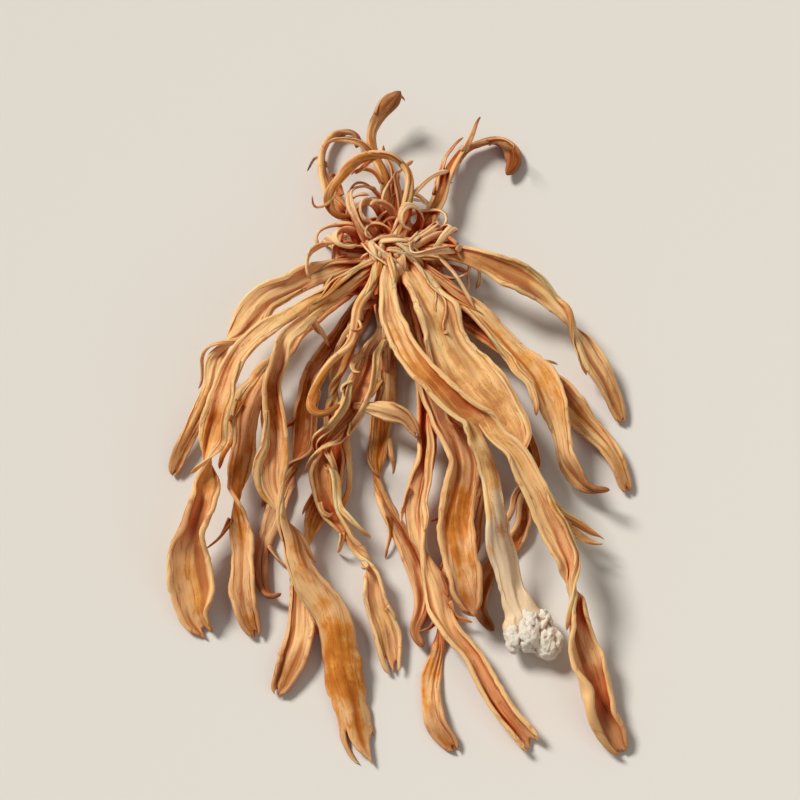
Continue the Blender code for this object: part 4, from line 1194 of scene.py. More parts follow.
def branch_sheet(stem, seed, sizes):
    """A branch, which starts as one half of its parent and leaves its shape bit by bit."""
    route = GROWN[stem.name]
    across = across_points(sizes.around)
    parent = next(s for s in STEMS if s.name == stem.parent)
    parent_seed = SEEDS[parent.name]
    first = place_at_length(GROWN[parent.name].knots, parent.root - HIDDEN_ROOT)
    whole, end = extended(GROWN[parent.name], parent_seed, sizes, first, FORK_BLEND + 2)
    last = last_of(route) - (PALE_CUT if stem.name == PALE_BRANCH else 0.0)
    line = turned_over(stem_line(route, seed, sizes, FORK_START, last), stem)
    beyond = line.length + FORK_START * FORK_RUN + GAP
    narrow, close = tip_closing(stem.tip, line)
    opening = np.sqrt(smooth(line.length / 2 + BRANCH_OPEN)) * FORK_SINK
    opening = opening + (1 - FORK_SINK) * smooth((beyond + FORK_CLOSE) / FORK_CLOSE)
    close = np.minimum(close, opening)
    furl = furl_of(stem.tip, line)
    skins, hollows = skins_of(line, across, stem.cup, seed, sizes, narrow, close, furl)
    held = column(1 - smooth((beyond + FORK_HOLD) / FORK_BLEND))
    row = (end + beyond) / (whole.length[1] - whole.length[0])
    row = column(np.clip(row, 0, len(whole.length) - 1))
    place = np.interp((stem.side + across) / 2, across, np.arange(len(across)))
    whole_skins, whole_hollows = skins_of(whole, across, parent.cup, parent_seed, sizes)
    halves = [read_at(skin, row, place) for skin in whole_skins]
    middle = (halves[0] + halves[1]) / 2
    rim = (np.sqrt(np.clip(1 - np.abs(across) ** FORK_RIM, 0, 1)) * column(opening))[..., None]
    starts = [middle + (half - middle) * rim for half in halves]
    skins = [own + (start - own) * held[..., None] for own, start in zip(skins, starts)]
    halves = [read_at(hollow, row, place) for hollow in whole_hollows]
    hollows = [own + (half - own) * held for own, half in zip(hollows, halves)]
    shift = stem.side * (whole.width[-1] - line.width[0]) / 2
    along = end + FORK_START * FORK_RUN + GAP
    grain = Grain(shift, along, parent_seed, 1 - smooth(beyond / FORK_GRAIN))
    return sheet_of(stem.tip, line, across, skins, hollows, 1 - grain.held, grain, seed)


def narrow_sheet(line, tip, points, skin_seed, seed, grain, sizes):
    """A shoot or strand of a stem, or a narrow stem or stub of the base."""
    across = across_points(points)
    skins, hollows = skins_of(line, across, NARROW_CUP, skin_seed, sizes, *tip_closing(tip, line))
    return sheet_of(tip, line, across, skins, hollows, np.ones(len(line.length)), grain, seed)


# Small side shoots, and narrow stems beside a stem


def line_on(place, above, width, thick, twist):
    """A line through places, whose upper side faces a direction, turned by a twist."""
    along = unit(np.gradient(place, axis=0))
    wide = unit(np.cross(along, above))
    turn = column(twist)
    wide = wide * np.cos(turn) + np.cross(wide, along) * np.sin(turn)
    return Line(run_along(place), place, wide, np.cross(wide, along), width, thick)


def curled_line(start, heading, above, length, width, thick, bend, seed, knob=0.0):
    """A thin shoot that sets out one way and curls over its flat side, most of all at its tip."""
    heading = np.array(heading) / np.linalg.norm(heading)
    aside = np.cross(heading, above)
    aside /= np.linalg.norm(aside)
    above = np.cross(aside, heading)
    steps = max(SHOOT_STEPS, int(length / SHOOT_STEP))
    run = np.linspace(0, 1, steps + 1)
    turn = column(bend * (EVEN_BEND * run + (1 - EVEN_BEND) * run**LATE_BEND))
    sway = column(smooth(run * SWAY_FROM) * wave_of(SHOOT_SWAY, seed, length * run))
    ways = heading * np.cos(turn) + above * np.sin(turn)
    ways = unit(ways * np.cos(sway) + aside * np.sin(sway))
    place = start + np.cumsum(ways, axis=0) * length / steps
    facing = above * np.cos(turn) - heading * np.sin(turn)
    swell = knob * np.exp(-(((1 - run) * length - KNOB_AT) ** 2) / KNOB_SPREAD)
    slim = (SHOOT_TAPER - run) * (1 + wave_of(SHOOT_SWELL, seed, length * run)) + swell
    twist = wave_of(SHOOT_TWIST, seed, length * run)
    return line_on(place, facing, width * slim, thick * (1 - 0.5 * run + swell), twist)


def rim_of(rings, line, way, station):
    """Places along one rim of a stem's rings, at each station of its line."""
    row = len(rings) - 1 - left_of(line) / station
    rim = rings[np.clip(np.rint(row), 0, len(rings) - 1).astype(int)]
    return evened(rim[:, 0 if way < 0 else rings.shape[1] // 2], 2)


def shoot_lines(line, rings, seed, shoots, station):
    """Small shoots from the rims of a stem, which curl."""
    rng = np.random.default_rng(seed + SHOOT_SEED)
    start, stretch = SHOOT_STRETCH
    for number in range(shoots.count):
        share = (number + rng.uniform(*SHOOT_PLACE)) / shoots.count
        at = int(len(line.length) * (start + stretch * share))
        way = 1 if rng.random() < 0.5 else -1
        along = line.place[min(at + 1, len(line.place) - 1)] - line.place[at - 1]
        along /= np.linalg.norm(along)
        wide = line.wide[at] * way
        opening = math.radians(rng.uniform(*SHOOT_OPENING))
        heading = along * math.cos(opening) + wide * math.sin(opening)
        facing = rng.uniform(*SHOOT_FACING) * line.up[at] + rng.uniform(-1.0, 1.0) * wide
        length = shoots.longest * rng.uniform(*SHOOT_LENGTH)
        bend = math.radians(shoots.bend) * rng.uniform(*SHOOT_BEND)
        root = rim_of(rings, line, way, station)[at] - wide * SHOOT_ROOT
        width = min(SHOOT_WIDEST, SHOOT_LEAST + SHOOT_SHARE * line.width[at])
        size = (length, width * rng.uniform(*SHOOT_WIDTH), min(SHOOT_THICK, line.thick[at] / 2))
        yield curled_line(root, heading, facing, *size, bend, seed * 53 + number * 7)


def strand_lines(line, rings, seed, count, station):
    """Narrow strands that leave the rims of a stem bit by bit, and end free."""
    rng = np.random.default_rng(seed + STRAND_SEED)
    total = len(line.length)
    for number in range(count):
        way = 1 if (number + seed) % 2 else -1
        share = rng.uniform(*STRAND_FROM)
        end = share + rng.uniform(*STRAND_SPAN)
        here = slice(int(total * share), min(total - 2, int(total * end)))
        length = line.length[here]
        run = np.linspace(0, 1, len(length))
        spread = rng.uniform(*STRAND_SPREAD) * run**1.6
        sway = smooth(run * SWAY_FROM) * wave_of(STRAND_SWAY, seed + number, length)
        aside = way * (spread + sway - SHOOT_ROOT)
        hook = rng.uniform(*STRAND_HOOK) * rise(run, STRAND_END, 1.0)
        lift = 0.15 + smooth(run * 2) * wave_of(STRAND_LIFT, seed + number, length)
        lift = lift * smooth(run * 4) + hook
        rim = rim_of(rings, line, way, station)[here]
        place = rim + line.wide[here] * column(aside) + line.up[here] * column(lift)
        swell = 1 + wave_of(STRAND_SWELL, seed + number, length)
        slim = (1 - 0.6 * run**3) * (0.5 + 0.5 * smooth(run * 5))
        width = rng.uniform(*STRAND_WIDTH) * swell * slim
        thick = rng.uniform(*STRAND_THICK) * (1 - 0.4 * run**3)
        roll = wave_of(STRAND_ROLL, seed + number, length)
        yield line_on(place, line.up[here], width, thick, roll)


def companion_lines(line, seed):
    """Narrow stems that come out of the base with a stem, wind round it and grow into it."""
    rng = np.random.default_rng(seed + COMPANION_SEED)
    for _ in range(COMPANIONS):
        stop = rng.uniform(*COMPANION_LENGTH)
        rows = line.length < stop
        wide = line.wide[rows]
        up = line.up[rows]
        run = line.length[rows] / stop
        turn = rng.uniform(0, 2 * math.pi) + COMPANION_TURN * rng.uniform(-1, 1) * run
        grown = 1 - rise(run, COMPANION_JOIN, 1.0)
        aside = np.cos(turn) * (line.width[rows] / 2 - 0.1) * grown
        lift = np.sin(turn) * (line.thick[rows] / 2 + COMPANION_LIFT) * grown
        place = line.place[rows] + wide * column(aside) + up * column(lift)
        facing = wide * column(np.cos(turn) * 0.4) + up * column(np.sin(turn))
        width = rng.uniform(*COMPANION_WIDTH) * (1 - 0.8 * rise(run, 0.35, 1.0))
        thick = COMPANION_THICK * (1 - 0.5 * run)
        yield line_on(place, facing, width, thick, wave_of(COMPANION_TWIST, seed, run))


# Meshes


def gap_shade(places):
    """How far places in metres lie below the narrow stems that cover the base, from 0 to 1, as
    painted shade.
    """
    out = (places / MM - FOOT - CORE_MIDDLE) / CORE_RADII
    return smooth((GAP_SHADE_FROM - np.linalg.norm(out, axis=-1)) / GAP_SHADE_DEPTH)


def read_points(piece, key):
    """The places ("co") or normals ("normal") of a piece's points, as rows of an array."""
    values = np.empty(len(piece.data.vertices) * 3)
    piece.data.vertices.foreach_get(key, values)
    return values.reshape(-1, 3)


def store(piece, layer, values):
    """Keeps three values for each point of a piece, for its material to read."""
    attribute = piece.data.attributes.new(layer, "FLOAT_VECTOR", "POINT")
    attribute.data.foreach_set("vector", values.ravel())


def rolled_sheet(places, layers):
    """A grid of faces laid over rows of places: its columns run round a stem, and meet."""
    rows, columns = places.shape[:2]
    # painted shade in the gaps under the narrow stems that cover the base
    layers["growth"][..., 1] = np.maximum(layers["growth"][..., 1], gap_shade(places))
    bpy.ops.mesh.primitive_grid_add(x_subdivisions=columns, y_subdivisions=rows - 1, size=1.0)
    sheet = bpy.context.object
    flat = read_points(sheet, "co") + 0.5
    around = np.rint(flat[:, 0] * columns).astype(int) % columns
    row = np.rint(flat[:, 1] * (rows - 1)).astype(int)
    sheet.data.vertices.foreach_set("co", places[row, around].ravel())
    for layer, values in layers.items():
        store(sheet, layer, values[row, around])
    bpy.ops.object.mode_set(mode="EDIT")
    bpy.ops.mesh.select_all(action="SELECT")
    bpy.ops.mesh.remove_doubles(threshold=ONE_PLACE)
    bpy.ops.mesh.fill_holes(sides=0)
    bpy.ops.mesh.select_all(action="SELECT")
    bpy.ops.mesh.normals_make_consistent(inside=False)
    bpy.ops.object.mode_set(mode="OBJECT")
    bpy.ops.object.shade_smooth()
    return sheet


def sheets_laid(sheets):
    """Pieces from sheets in millimetres about the base's foot."""
    return [rolled_sheet(in_place(on_floor(places)), layers) for places, layers in sheets]


def join_pieces(name, pieces):
    """Joins pieces to one object."""
    bpy.ops.object.select_all(action="DESELECT")
    for piece in pieces:
        piece.select_set(True)
    bpy.context.view_layer.objects.active = pieces[0]
    bpy.ops.object.join()
    joined = bpy.context.object
    joined.name = name
    joined.data.name = name
    return joined


def finish_piece(piece, node, material):
    """Gives a piece its material, and puts it in the place of its solid."""
    piece.data.materials.clear()
    piece.data.materials.append(material)
    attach(piece, "root")
    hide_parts(node)


def grow_stem(stem, context):
    """One stem, from inside the base or its parent to its tip, with what splits off its rims."""
    sizes = context.scene.tuft_sizes
    seed = SEEDS[stem.name]
    station = sizes.station / MM
    route = GROWN[stem.name]
    line = turned_over(stem_line(route, seed, sizes, 0.0, last_of(route)), stem)
    sheet = branch_sheet(stem, seed, sizes) if stem.side else stem_sheet(stem, seed, sizes)
    small = list(shoot_lines(line, sheet[0], seed, stem.shoots, station))
    small += strand_lines(line, sheet[0], seed, stem.strands, station)
    if stem.root:
        small += companion_lines(line, seed)
    tip = SHOOT_END._replace(dark=SHOOT_DARK[stem.tip.dark > DARK_TIP])
    sheets = [sheet]
    for number, one in enumerate(small):
        grain = Grain(*(number * apart for apart in SHOOT_APART), seed)
        seeds = (seed * 31 + number, seed + number)
        sheets.append(narrow_sheet(one, tip, SHOOT_POINTS, *seeds, grain, sizes))
    piece = join_pieces("dried_" + stem.name, sheets_laid(sheets))
    finish_piece(piece, stem.name, flesh_material(SLOT_OF[stem.name], context.scene.tuft_colours))


# The base


def lump_mesh(middle, radii):
    """One uneven lump."""
    bpy.ops.mesh.primitive_ico_sphere_add(subdivisions=5, radius=1.0)
    lump = bpy.context.object
    for vert in lump.data.vertices:
        waves = [much * noise.noise(vert.co * often + Vector(middle)) for often, much in LUMP_NOISE]
        uneven = 1 + sum(waves)
        place = [m + r * c * uneven for m, r, c in zip(middle, radii, vert.co)]
        vert.co = in_place(np.array(place))
    return lump


def winder_lines():
    """Narrow stems that wind over the base and dive back into it at both ends."""
    rng = np.random.default_rng(WINDER_SEED)
    for number in range(WINDERS):
        turn = math.radians(WINDER_STEP * number)
        height = rng.uniform(*WINDER_HEIGHT)
        level = math.sqrt(1 - height**2)
        out = np.array([math.cos(turn) * level, math.sin(turn) * level, height])
        upward = np.array([-math.cos(turn) * height, -math.sin(turn) * height, level])
        sideways = np.array([-math.sin(turn), math.cos(turn), 0.0])
        lean = rng.uniform(-WINDER_LEAN, WINDER_LEAN)
        heading = upward * math.cos(lean) + sideways * math.sin(lean)
        sweep = math.radians(rng.uniform(*WINDER_SWEEP))
        width = rng.uniform(*WINDER_WIDTH)
        run = np.linspace(0, 1, int(sweep * CORE_RADII[0] / SHOOT_STEP))
        angle = column(sweep * (run - 0.5))
        ways = out * np.cos(angle) + heading * np.sin(angle)
        ways = unit(ways + column(wave_of(WINDER_SWAY, number, run)) * np.cross(out, heading))
        dive = WINDER_DIVE * rise(np.abs(2 * run - 1), WINDER_LEVEL, 1.0)
        lift = WINDER_LIFT + wave_of(WINDER_RISE, number, run) - dive
        place = CORE_MIDDLE + CORE_RADII * ways * column(lift)
        swell = 1 + wave_of(WINDER_SWELL, number, run)
        thick = np.full(len(run), rng.uniform(*WINDER_THICK))
        yield line_on(place, ways, width * swell, thick, wave_of(WINDER_TWIST, number, run))


def curl_lines():
    """Thin curly stems that stand out from the back of the base."""
    rng = np.random.default_rng(CURL_SEED)
    low, high = CURL_SIDE
    for number in range(CURLS):
        turn = math.radians(low + (high - low) * (number + rng.uniform(0, 1)) / CURLS)
        way = np.array([math.cos(turn), math.sin(turn), rng.uniform(*CURL_HEIGHT)])
        start = CORE_MIDDLE + CORE_RADII * way * CURL_START
        facing = np.array([rng.uniform(-1, 1), rng.uniform(-1, 1), rng.uniform(-0.9, 0.5)])
        length = rng.uniform(*CURL_LENGTH)
        bend = math.radians(rng.uniform(*CURL_BEND))
        size = (length, rng.uniform(*CURL_WIDTH), CURL_THICK)
        yield curled_line(start, way, facing, *size, bend, 520 + number * 9, CURL_KNOB)


def neck_direction(stem):
    """The compass direction in which a stem leaves the base."""
    return math.atan2(stem.route[2].y, stem.route[2].x)


def bridge_lines():
    """Narrow strips from the neck of one stem to that of a neighbour."""
    rng = np.random.default_rng(BRIDGE_SEED)
    necks = sorted((stem for stem in STEMS if stem.root), key=neck_direction)
    for number in range(BRIDGES):
        ends = []
        for stem in (necks[number % len(necks)], necks[(number + 1) % len(necks)]):
            route = GROWN[stem.name].knots
            at = place_at_length(route, rng.uniform(*BRIDGE_AT))
            ends.append(np.array(between(route, at)[:3]))
        start, end = ends
        reach = np.linalg.norm(end - start)
        run = np.linspace(0, 1, max(12, int(reach / SHOOT_STEP)))
        out = (start + end) / 2 - CORE_MIDDLE + np.array([0.0, 0.0, reach])
        out /= np.linalg.norm(out)
        arch = np.sin(math.pi * run)
        aside = np.cross(out, (end - start) / reach)
        bow = out * column(rng.uniform(*BRIDGE_BOW) * arch)
        sway = aside * column(arch * wave_of(BRIDGE_SWAY, number, run))
        place = start + (end - start) * column(run) + bow + sway
        slim = 0.35 + 0.65 * smooth(5 * np.minimum(run, 1 - run))
        width = rng.uniform(*BRIDGE_WIDTH) * (1 + wave_of(BRIDGE_SWELL, number, run)) * slim
        yield line_on(place, out, width, BRIDGE_THICK * slim, wave_of(BRIDGE_TWIST, number, run))


def stub_lines(sizes):
    """Short stems that were cut off close to the base."""
    for number, (turn, height, length, width) in enumerate(STUBS):
        way = Vector((math.cos(math.radians(turn)), math.sin(math.radians(turn)), STUB_RISE))
        rows = []
        for share, swell in STUB_SHAPE:
            place = way * length * share + Vector((0, 0, height))
            rows.append((*place, width * swell, STUB_THICK, STUB_TWIST * share * number))
        route = Route(through(*rows), None)
        yield line_of(route, 200 + number, sizes.station / MM, 0.0, last_of(route))


def one_skin(piece, grain):
    """Makes what overlaps one even skin, and evens it out a little."""
    skin = piece.modifiers.new("one skin", "REMESH")
    skin.mode = "VOXEL"
    skin.voxel_size = grain
    bpy.ops.object.modifier_apply(modifier=skin.name)
    even = piece.modifiers.new("even", "SMOOTH")
    even.factor = 0.5
    even.iterations = 2
    bpy.ops.object.modifier_apply(modifier=even.name)


def layered_noise(places, size, octaves, seed):
    """Noise about places in metres, with features of a size in millimetres."""
    offset = Vector((seed * 13.7, seed * 7.1, seed * 3.3))
    scale = 1 / (size * MM)
    return np.array([noise.fractal(Vector(p) * scale + offset, 1.0, 2.0, octaves) for p in places])


def hollowness(piece, rounds):
    """How far below its surroundings each point of a piece lies, in millimetres."""
    places = read_points(piece, "co")
    normals = read_points(piece, "normal")
    edges = np.empty(len(piece.data.edges) * 2, dtype=int)
    piece.data.edges.foreach_get("vertices", edges)
    ends = edges.reshape(-1, 2)
    near = np.concatenate((ends[:, 0], ends[:, 1]))
    far = np.concatenate((ends[:, 1], ends[:, 0]))
    number = column(np.bincount(near, minlength=len(places)))
    even = places.copy()
    for _ in range(rounds):
        sums = [np.bincount(near, even[far, i], len(places)) for i in range(3)]
        even = np.stack(sums, axis=1) / number
    return ((even - places) * normals).sum(axis=1) / MM


def mealy_relief(piece, height, centre, seed, rounds):
    """Folds and crumples a skin, and stores what its material reads."""
    places = read_points(piece, "co")
    normals = read_points(piece, "normal")
    crumbs = layered_noise(places, CRUMB_SIZE, 3, seed)
    broad = layered_noise(places, MOUND_SIZE, 2, seed + 1)
    crease = np.abs(layered_noise(places * CREASE_RUN, CREASE_SIZE, 1, seed + 2)) / CREASE_WIDTH
    relief = crumbs * CRUMB_RISE + broad * MOUND_RISE + np.sqrt(np.minimum(1, crease))
    foot = smooth(places[:, 2] / (FOOT_HEIGHT * MM))
    moved = places + normals * column(height * (relief - CREASE_LEVEL) * foot)
    moved[:, 2] = np.maximum(moved[:, 2], 0.0)
    piece.data.vertices.foreach_set("co", moved.ravel())
    piece.data.update()
    # how hollow each point lies, which the materials darken as painted shade
    hollow = smooth(EVEN_HOLLOW + hollowness(piece, rounds) / HOLLOW_DEPTH)
    # and painted shade under the narrow stems that cover the base
    hollow = np.maximum(hollow, gap_shade(moved))
    bloom = smooth(BLOOM_LEVEL + broad * BLOOM_CHANGES[0] + crumbs * BLOOM_CHANGES[1])
    away = places / MM - centre
    around = np.arctan2(away[:, 1], away[:, 0]) * 5.0
    zero = np.zeros(len(places))
    store(piece, "growth", np.stack((zero, hollow, zero), axis=-1))
    store(piece, "patch", np.stack((zero, bloom * BLOOM_MOST, broad), axis=-1))
    store(piece, "fibre", np.stack((around, np.linalg.norm(away, axis=1), zero + seed), axis=-1))
    bpy.ops.object.shade_smooth()


def grow_base(context):
    """Lumps under one skin, with stubs and narrow stems that are grown together over them."""
    sizes = context.scene.tuft_sizes
    lumps = [lump_mesh(middle, tuple(r * CORE_SHRINK for r in radii)) for middle, radii in LUMPS]
    core = join_pieces("dried_base", lumps)
    one_skin(core, sizes.grain * CORE_GRAIN)
    mealy_relief(core, sizes.crumb, np.array([*BASE_AT, 4.0]), CORE_SEED, CORE_ROUNDS)
    # Lines, how they end, the points across them, and the seed of the first
    kinds = (
        (winder_lines(), SHOOT_END, 13, 600),
        (curl_lines(), SHOOT_END, 11, 660),
        (bridge_lines(), SHOOT_END, 11, 720),
        (stub_lines(sizes), BLUNT, 21, 700),
    )
    sheets = []
    for lines, tip, points, first in kinds:
        for seed, line in enumerate(lines, first):
            grain = Grain(seed * 3.0, 0.0, seed)
            sheets.append(narrow_sheet(line, tip, points, seed, seed, grain, sizes))
    base = join_pieces("dried_base", [core] + sheets_laid(sheets))
    finish_piece(base, "base", flesh_material("pale_base", context.scene.tuft_colours))


# The pale lumps


def grow_pale_lumps(context):
    """Mealy white lobes, crowded round the end of a branch."""
    sizes = context.scene.tuft_sizes
    route = GROWN[PALE_BRANCH]
    places = [lobe.at for lobe in PALE_LOBES]
    pieces = []
    for lobe, way in zip(PALE_LOBES, frames_of(route, places)):
        knot = between(route.knots, lobe.at)
        wide, up = rolled(way, knot)
        middle = Vector(knot[:3]) + wide * lobe.side * knot.width / 2 + up * lobe.lift
        middle.z = max(middle.z, lobe.high * PALE_SINK)
        pieces.append(lump_mesh(tuple(middle), (lobe.broad, lobe.long, lobe.high)))
    lumps = join_pieces("pale_lumps", pieces)
    one_skin(lumps, sizes.grain * PALE_GRAIN)
    middle = np.array(between(route.knots, places[len(places) // 2])[:3])
    mealy_relief(lumps, sizes.crumb, middle + FOOT, PALE_SEED, PALE_ROUNDS)
    finish_piece(lumps, PALE_BRANCH, mealy_material(context.scene.tuft_colours))


# Materials


def wire(tree, kind, sockets, **settings):
    """Adds a node, sets it up, and feeds its sockets with values or other nodes' outputs."""
    node = tree.nodes.new(kind)
    for key, value in settings.items():
        setattr(node, key, value)
    for key, value in sockets.items():
        if isinstance(value, bpy.types.NodeSocket):
            tree.links.new(value, node.inputs[key])
        else:
            node.inputs[key].default_value = value
    return node


def math_of(tree, operation, *values):
    return wire(tree, "ShaderNodeMath", dict(enumerate(values)), operation=operation).outputs[0]


def sum_of(tree, *weighted):
    """The sum of values, each times its weight."""
    total = math_of(tree, "MULTIPLY", *weighted[0])
    for value, weight in weighted[1:]:
        total = math_of(tree, "MULTIPLY_ADD", value, weight, total)
    return total


def ramp_of(tree, value, low, high, most):
    """A value from low to high becomes one from 0 to the most, with soft ends."""
    sockets = {"Value": value, "From Min": low, "From Max": high, "To Min": 0.0, "To Max": most}
    return wire(tree, "ShaderNodeMapRange", sockets, interpolation_type="SMOOTHSTEP").outputs[0]


def blend_of(tree, share, a, b, kind="MIX"):
    """Two colours mixed by a share."""
    settings = {"data_type": "RGBA", "blend_type": kind, "clamp_factor": True}
    return wire(tree, "ShaderNodeMix", {0: share, 6: a, 7: b}, **settings).outputs[2]


def noise_of(tree, place, scale, **sockets):
    """A noise pattern at a place, of a scale."""
    values = {"Vector": place, "Scale": scale, **sockets}
    return wire(tree, "ShaderNodeTexNoise", values).outputs["Fac"]


def read_layer(tree, layer):
    """The three values of a layer that the mesh carries."""
    stored = wire(tree, "ShaderNodeAttribute", {}, attribute_name=layer, attribute_type="GEOMETRY")
    return wire(tree, "ShaderNodeSeparateXYZ", {0: stored.outputs["Vector"]}).outputs


def fibre_grain(tree, given):
    """Streaks that run along a stem, of a width and a length in millimetres."""
    parts = read_layer(tree, "fibre")
    across = math_of(tree, "DIVIDE", parts[0], given["Width"])
    along = math_of(tree, "DIVIDE", parts[1], given["Length"])
    spot = wire(tree, "ShaderNodeCombineXYZ", {0: across, 1: along, 2: parts[2]}).outputs[0]
    return [noise_of(tree, spot, 1.0, Detail=3.0, Roughness=0.55, Distortion=0.4)]


def mottling(tree, given):
    """Soft blotches of a size in millimetres."""
    place = wire(tree, "ShaderNodeTexCoord", {}).outputs["Object"]
    scale = math_of(tree, "DIVIDE", 1 / MM, given["Size"])
    return [noise_of(tree, place, scale, Detail=4.0, Roughness=0.6)]


def dried_flesh(tree, given):
    """Colour, roughness and relief of dried flesh, from what the mesh carries.

    growth holds the run from the root (0 to 1), the folds' hollows with the gaps between the
    stems, which get painted shade, and the rims, which get a painted highlight; patch holds the
    dark of the tips, the mealy bloom, and a slow change of shade with the painted shade of a wide
    stem's thin middle.
    """
    run, hollow, rim = read_layer(tree, "growth")
    dark_tip, pale_tip, shade = read_layer(tree, "patch")
    streaks = (BROAD_STREAKS, FINE_STREAKS, HAIRS)
    broad, fine, hair = (placed(tree, "Fibre grain", sizes)[0] for sizes in streaks)
    blotch, speck = (placed(tree, "Mottling", size)[0] for size in (BLOTCHES, SPECKS))
    flesh = blend_of(tree, run, given["Root"], given["Flesh"])
    light = blend_of(tree, 0.7, flesh, given["Cream"])
    dark = blend_of(tree, 0.8, flesh, given["Deep"])
    tone = sum_of(tree, (broad, 0.45), (blotch, 0.55), (shade, 0.26))
    vein = math_of(tree, "ABSOLUTE", math_of(tree, "SUBTRACT", broad, 0.5))
    vein = ramp_of(tree, sum_of(tree, (vein, 1.0), (speck, 0.03)), *VEIN)
    colour = blend_of(tree, ramp_of(tree, tone, *LIGHT), flesh, light)
    marks = (
        (ramp_of(tree, tone, *DARK), dark),
        (ramp_of(tree, fine, *STREAK), dark),
        # painted shade in the folds and in the gaps between the stems
        (ramp_of(tree, sum_of(tree, (hollow, 1.0), (fine, 0.3)), *FOLD_SHADE), dark),
        # painted highlight on the rims, broken by the fine streaks
        (ramp_of(tree, sum_of(tree, (rim, 0.9), (fine, 0.3)), *RIM_HIGHLIGHT), light),
        (ramp_of(tree, speck, *SPECK), dark),
        (vein, dark),
    )
    for mark, tint in marks:
        colour = blend_of(tree, mark, colour, tint)
    # Painted shade: where other stems or the floor lie near, the flesh is tinted dark
    near = wire(tree, "ShaderNodeAmbientOcclusion", {"Distance": OCCLUSION_SHADE_REACH * MM}, samples=8)
    occlusion_shade = ramp_of(tree, near.outputs["AO"], *OCCLUSION_SHADE)
    colour = blend_of(tree, occlusion_shade, colour, given["Hidden"], "MULTIPLY")
    colour = blend_of(tree, dark_tip, colour, given["Tip"])
    meal = ramp_of(tree, sum_of(tree, (pale_tip, 1.0), (speck, 0.6)), *MEAL)
    colour = blend_of(tree, meal, colour, given["Bloom"])
    rough = math_of(tree, "ADD", sum_of(tree, (fine, 0.25), (meal, 0.25)), 0.34)
    relief = sum_of(tree, (fine, 0.5), (hair, 0.2), (speck, 0.2), (vein, -0.5))
    return colour, rough, relief


def mealy_bloom(tree, given):
    """Colour, roughness and relief of the white mealy lumps."""
    blotch, speck = (placed(tree, "Mottling", size)[0] for size in (PALE_BLOTCHES, PALE_SPECKS))
    # painted shade in the creases, with mottled dirt
    dirt_and_shade = math_of(tree, "ADD", read_layer(tree, "growth")[1], sum_of(tree, (blotch, 0.7)))
    colour = blend_of(tree, ramp_of(tree, dirt_and_shade, *DIRT_AND_SHADE), given["Bloom"], given["Crease"])
    colour = blend_of(tree, ramp_of(tree, speck, *PALE_SPECK), colour, given["Crease"])
    return colour, math_of(tree, "ADD", 0.72, sum_of(tree, (speck, 0.2))), speck


# The node groups: what fills each one, its inputs with their values, and its outputs
EFFECTS = {
    "Fibre grain": (fibre_grain, {"Width": 0.3, "Length": 6.0}, ("Streaks",)),
    "Mottling": (mottling, {"Size": 3.0}, ("Blotches",)),
    "Dried flesh": (dried_flesh, dict.fromkeys(FLESH_TONES, WHITE), SKIN_OUTPUTS),
    "Mealy bloom": (mealy_bloom, dict.fromkeys(("Bloom", "Crease"), WHITE), SKIN_OUTPUTS),
}


def effect_group(name):
    """A node group, made the first time that it is asked for."""
    if name in bpy.data.node_groups:
        return bpy.data.node_groups[name]
    fill, inputs, outputs = EFFECTS[name]
    tree = bpy.data.node_groups.new(name, "ShaderNodeTree")
    for label, value in inputs.items():
        kind = "NodeSocketColor" if value is WHITE else "NodeSocketFloat"
        tree.interface.new_socket(label, in_out="INPUT", socket_type=kind).default_value = value
    for label in outputs:
        kind = "NodeSocketColor" if label == "Colour" else "NodeSocketFloat"
        tree.interface.new_socket(label, in_out="OUTPUT", socket_type=kind)
    results = fill(tree, wire(tree, "NodeGroupInput", {}).outputs)
    wire(tree, "NodeGroupOutput", dict(enumerate(results)))
    return tree


def placed(tree, effect, values):
    """A node group in a tree, with its own values; its outputs."""
    return wire(tree, "ShaderNodeGroup", values, node_tree=effect_group(effect)).outputs


def skin_material(name, effect, colours, bump_mm, scatter):
    """A shader for dry flesh, fed by a node group's colour, roughness and relief."""
    if name in bpy.data.materials:
        return bpy.data.materials[name]
    material = bpy.data.materials.new(name)
    material.use_nodes = True
    tree = material.node_tree
    shader = tree.nodes["Principled BSDF"]
    values = {key: (*colour, 1) for key, colour in colours.items()}
    colour, rough, relief = placed(tree, effect, values)[:3]
    raised = {"Strength": 0.7, "Distance": bump_mm * MM, "Height": relief}
    bump = wire(tree, "ShaderNodeBump", raised)
    tree.links.new(colour, shader.inputs["Base Color"])
    tree.links.new(rough, shader.inputs["Roughness"])
    tree.links.new(bump.outputs[0], shader.inputs["Normal"])
    shader.inputs["Specular IOR Level"].default_value = 0.32
    shader.inputs["Specular Tint"].default_value = (1.0, 0.7, 0.42, 1)
    shader.inputs["Subsurface Weight"].default_value = scatter
    shader.inputs["Subsurface Radius"].default_value = (1.0, 0.46, 0.2)
    shader.inputs["Subsurface Scale"].default_value = 1.1 * MM
    return material


def flesh_material(slot, colours):
    """Dried flesh in the colours of a material slot."""
    flesh = {
        "pale_base": colours.cream,
        "straw_stem": colours.straw,
        "gold_stem": colours.gold,
        "amber_stem": colours.amber,
        "russet_stem": colours.russet,
    }[slot]
    bloom = Vector(colours.cream).lerp(Vector(colours.mealy), 0.5)
    tones = (
        colours.straw, flesh, colours.cream, colours.deep, colours.occlusion_shade, colours.tip, bloom
    )
    return skin_material(slot + "_flesh", "Dried flesh", dict(zip(FLESH_TONES, tones)), 0.16, 0.5)


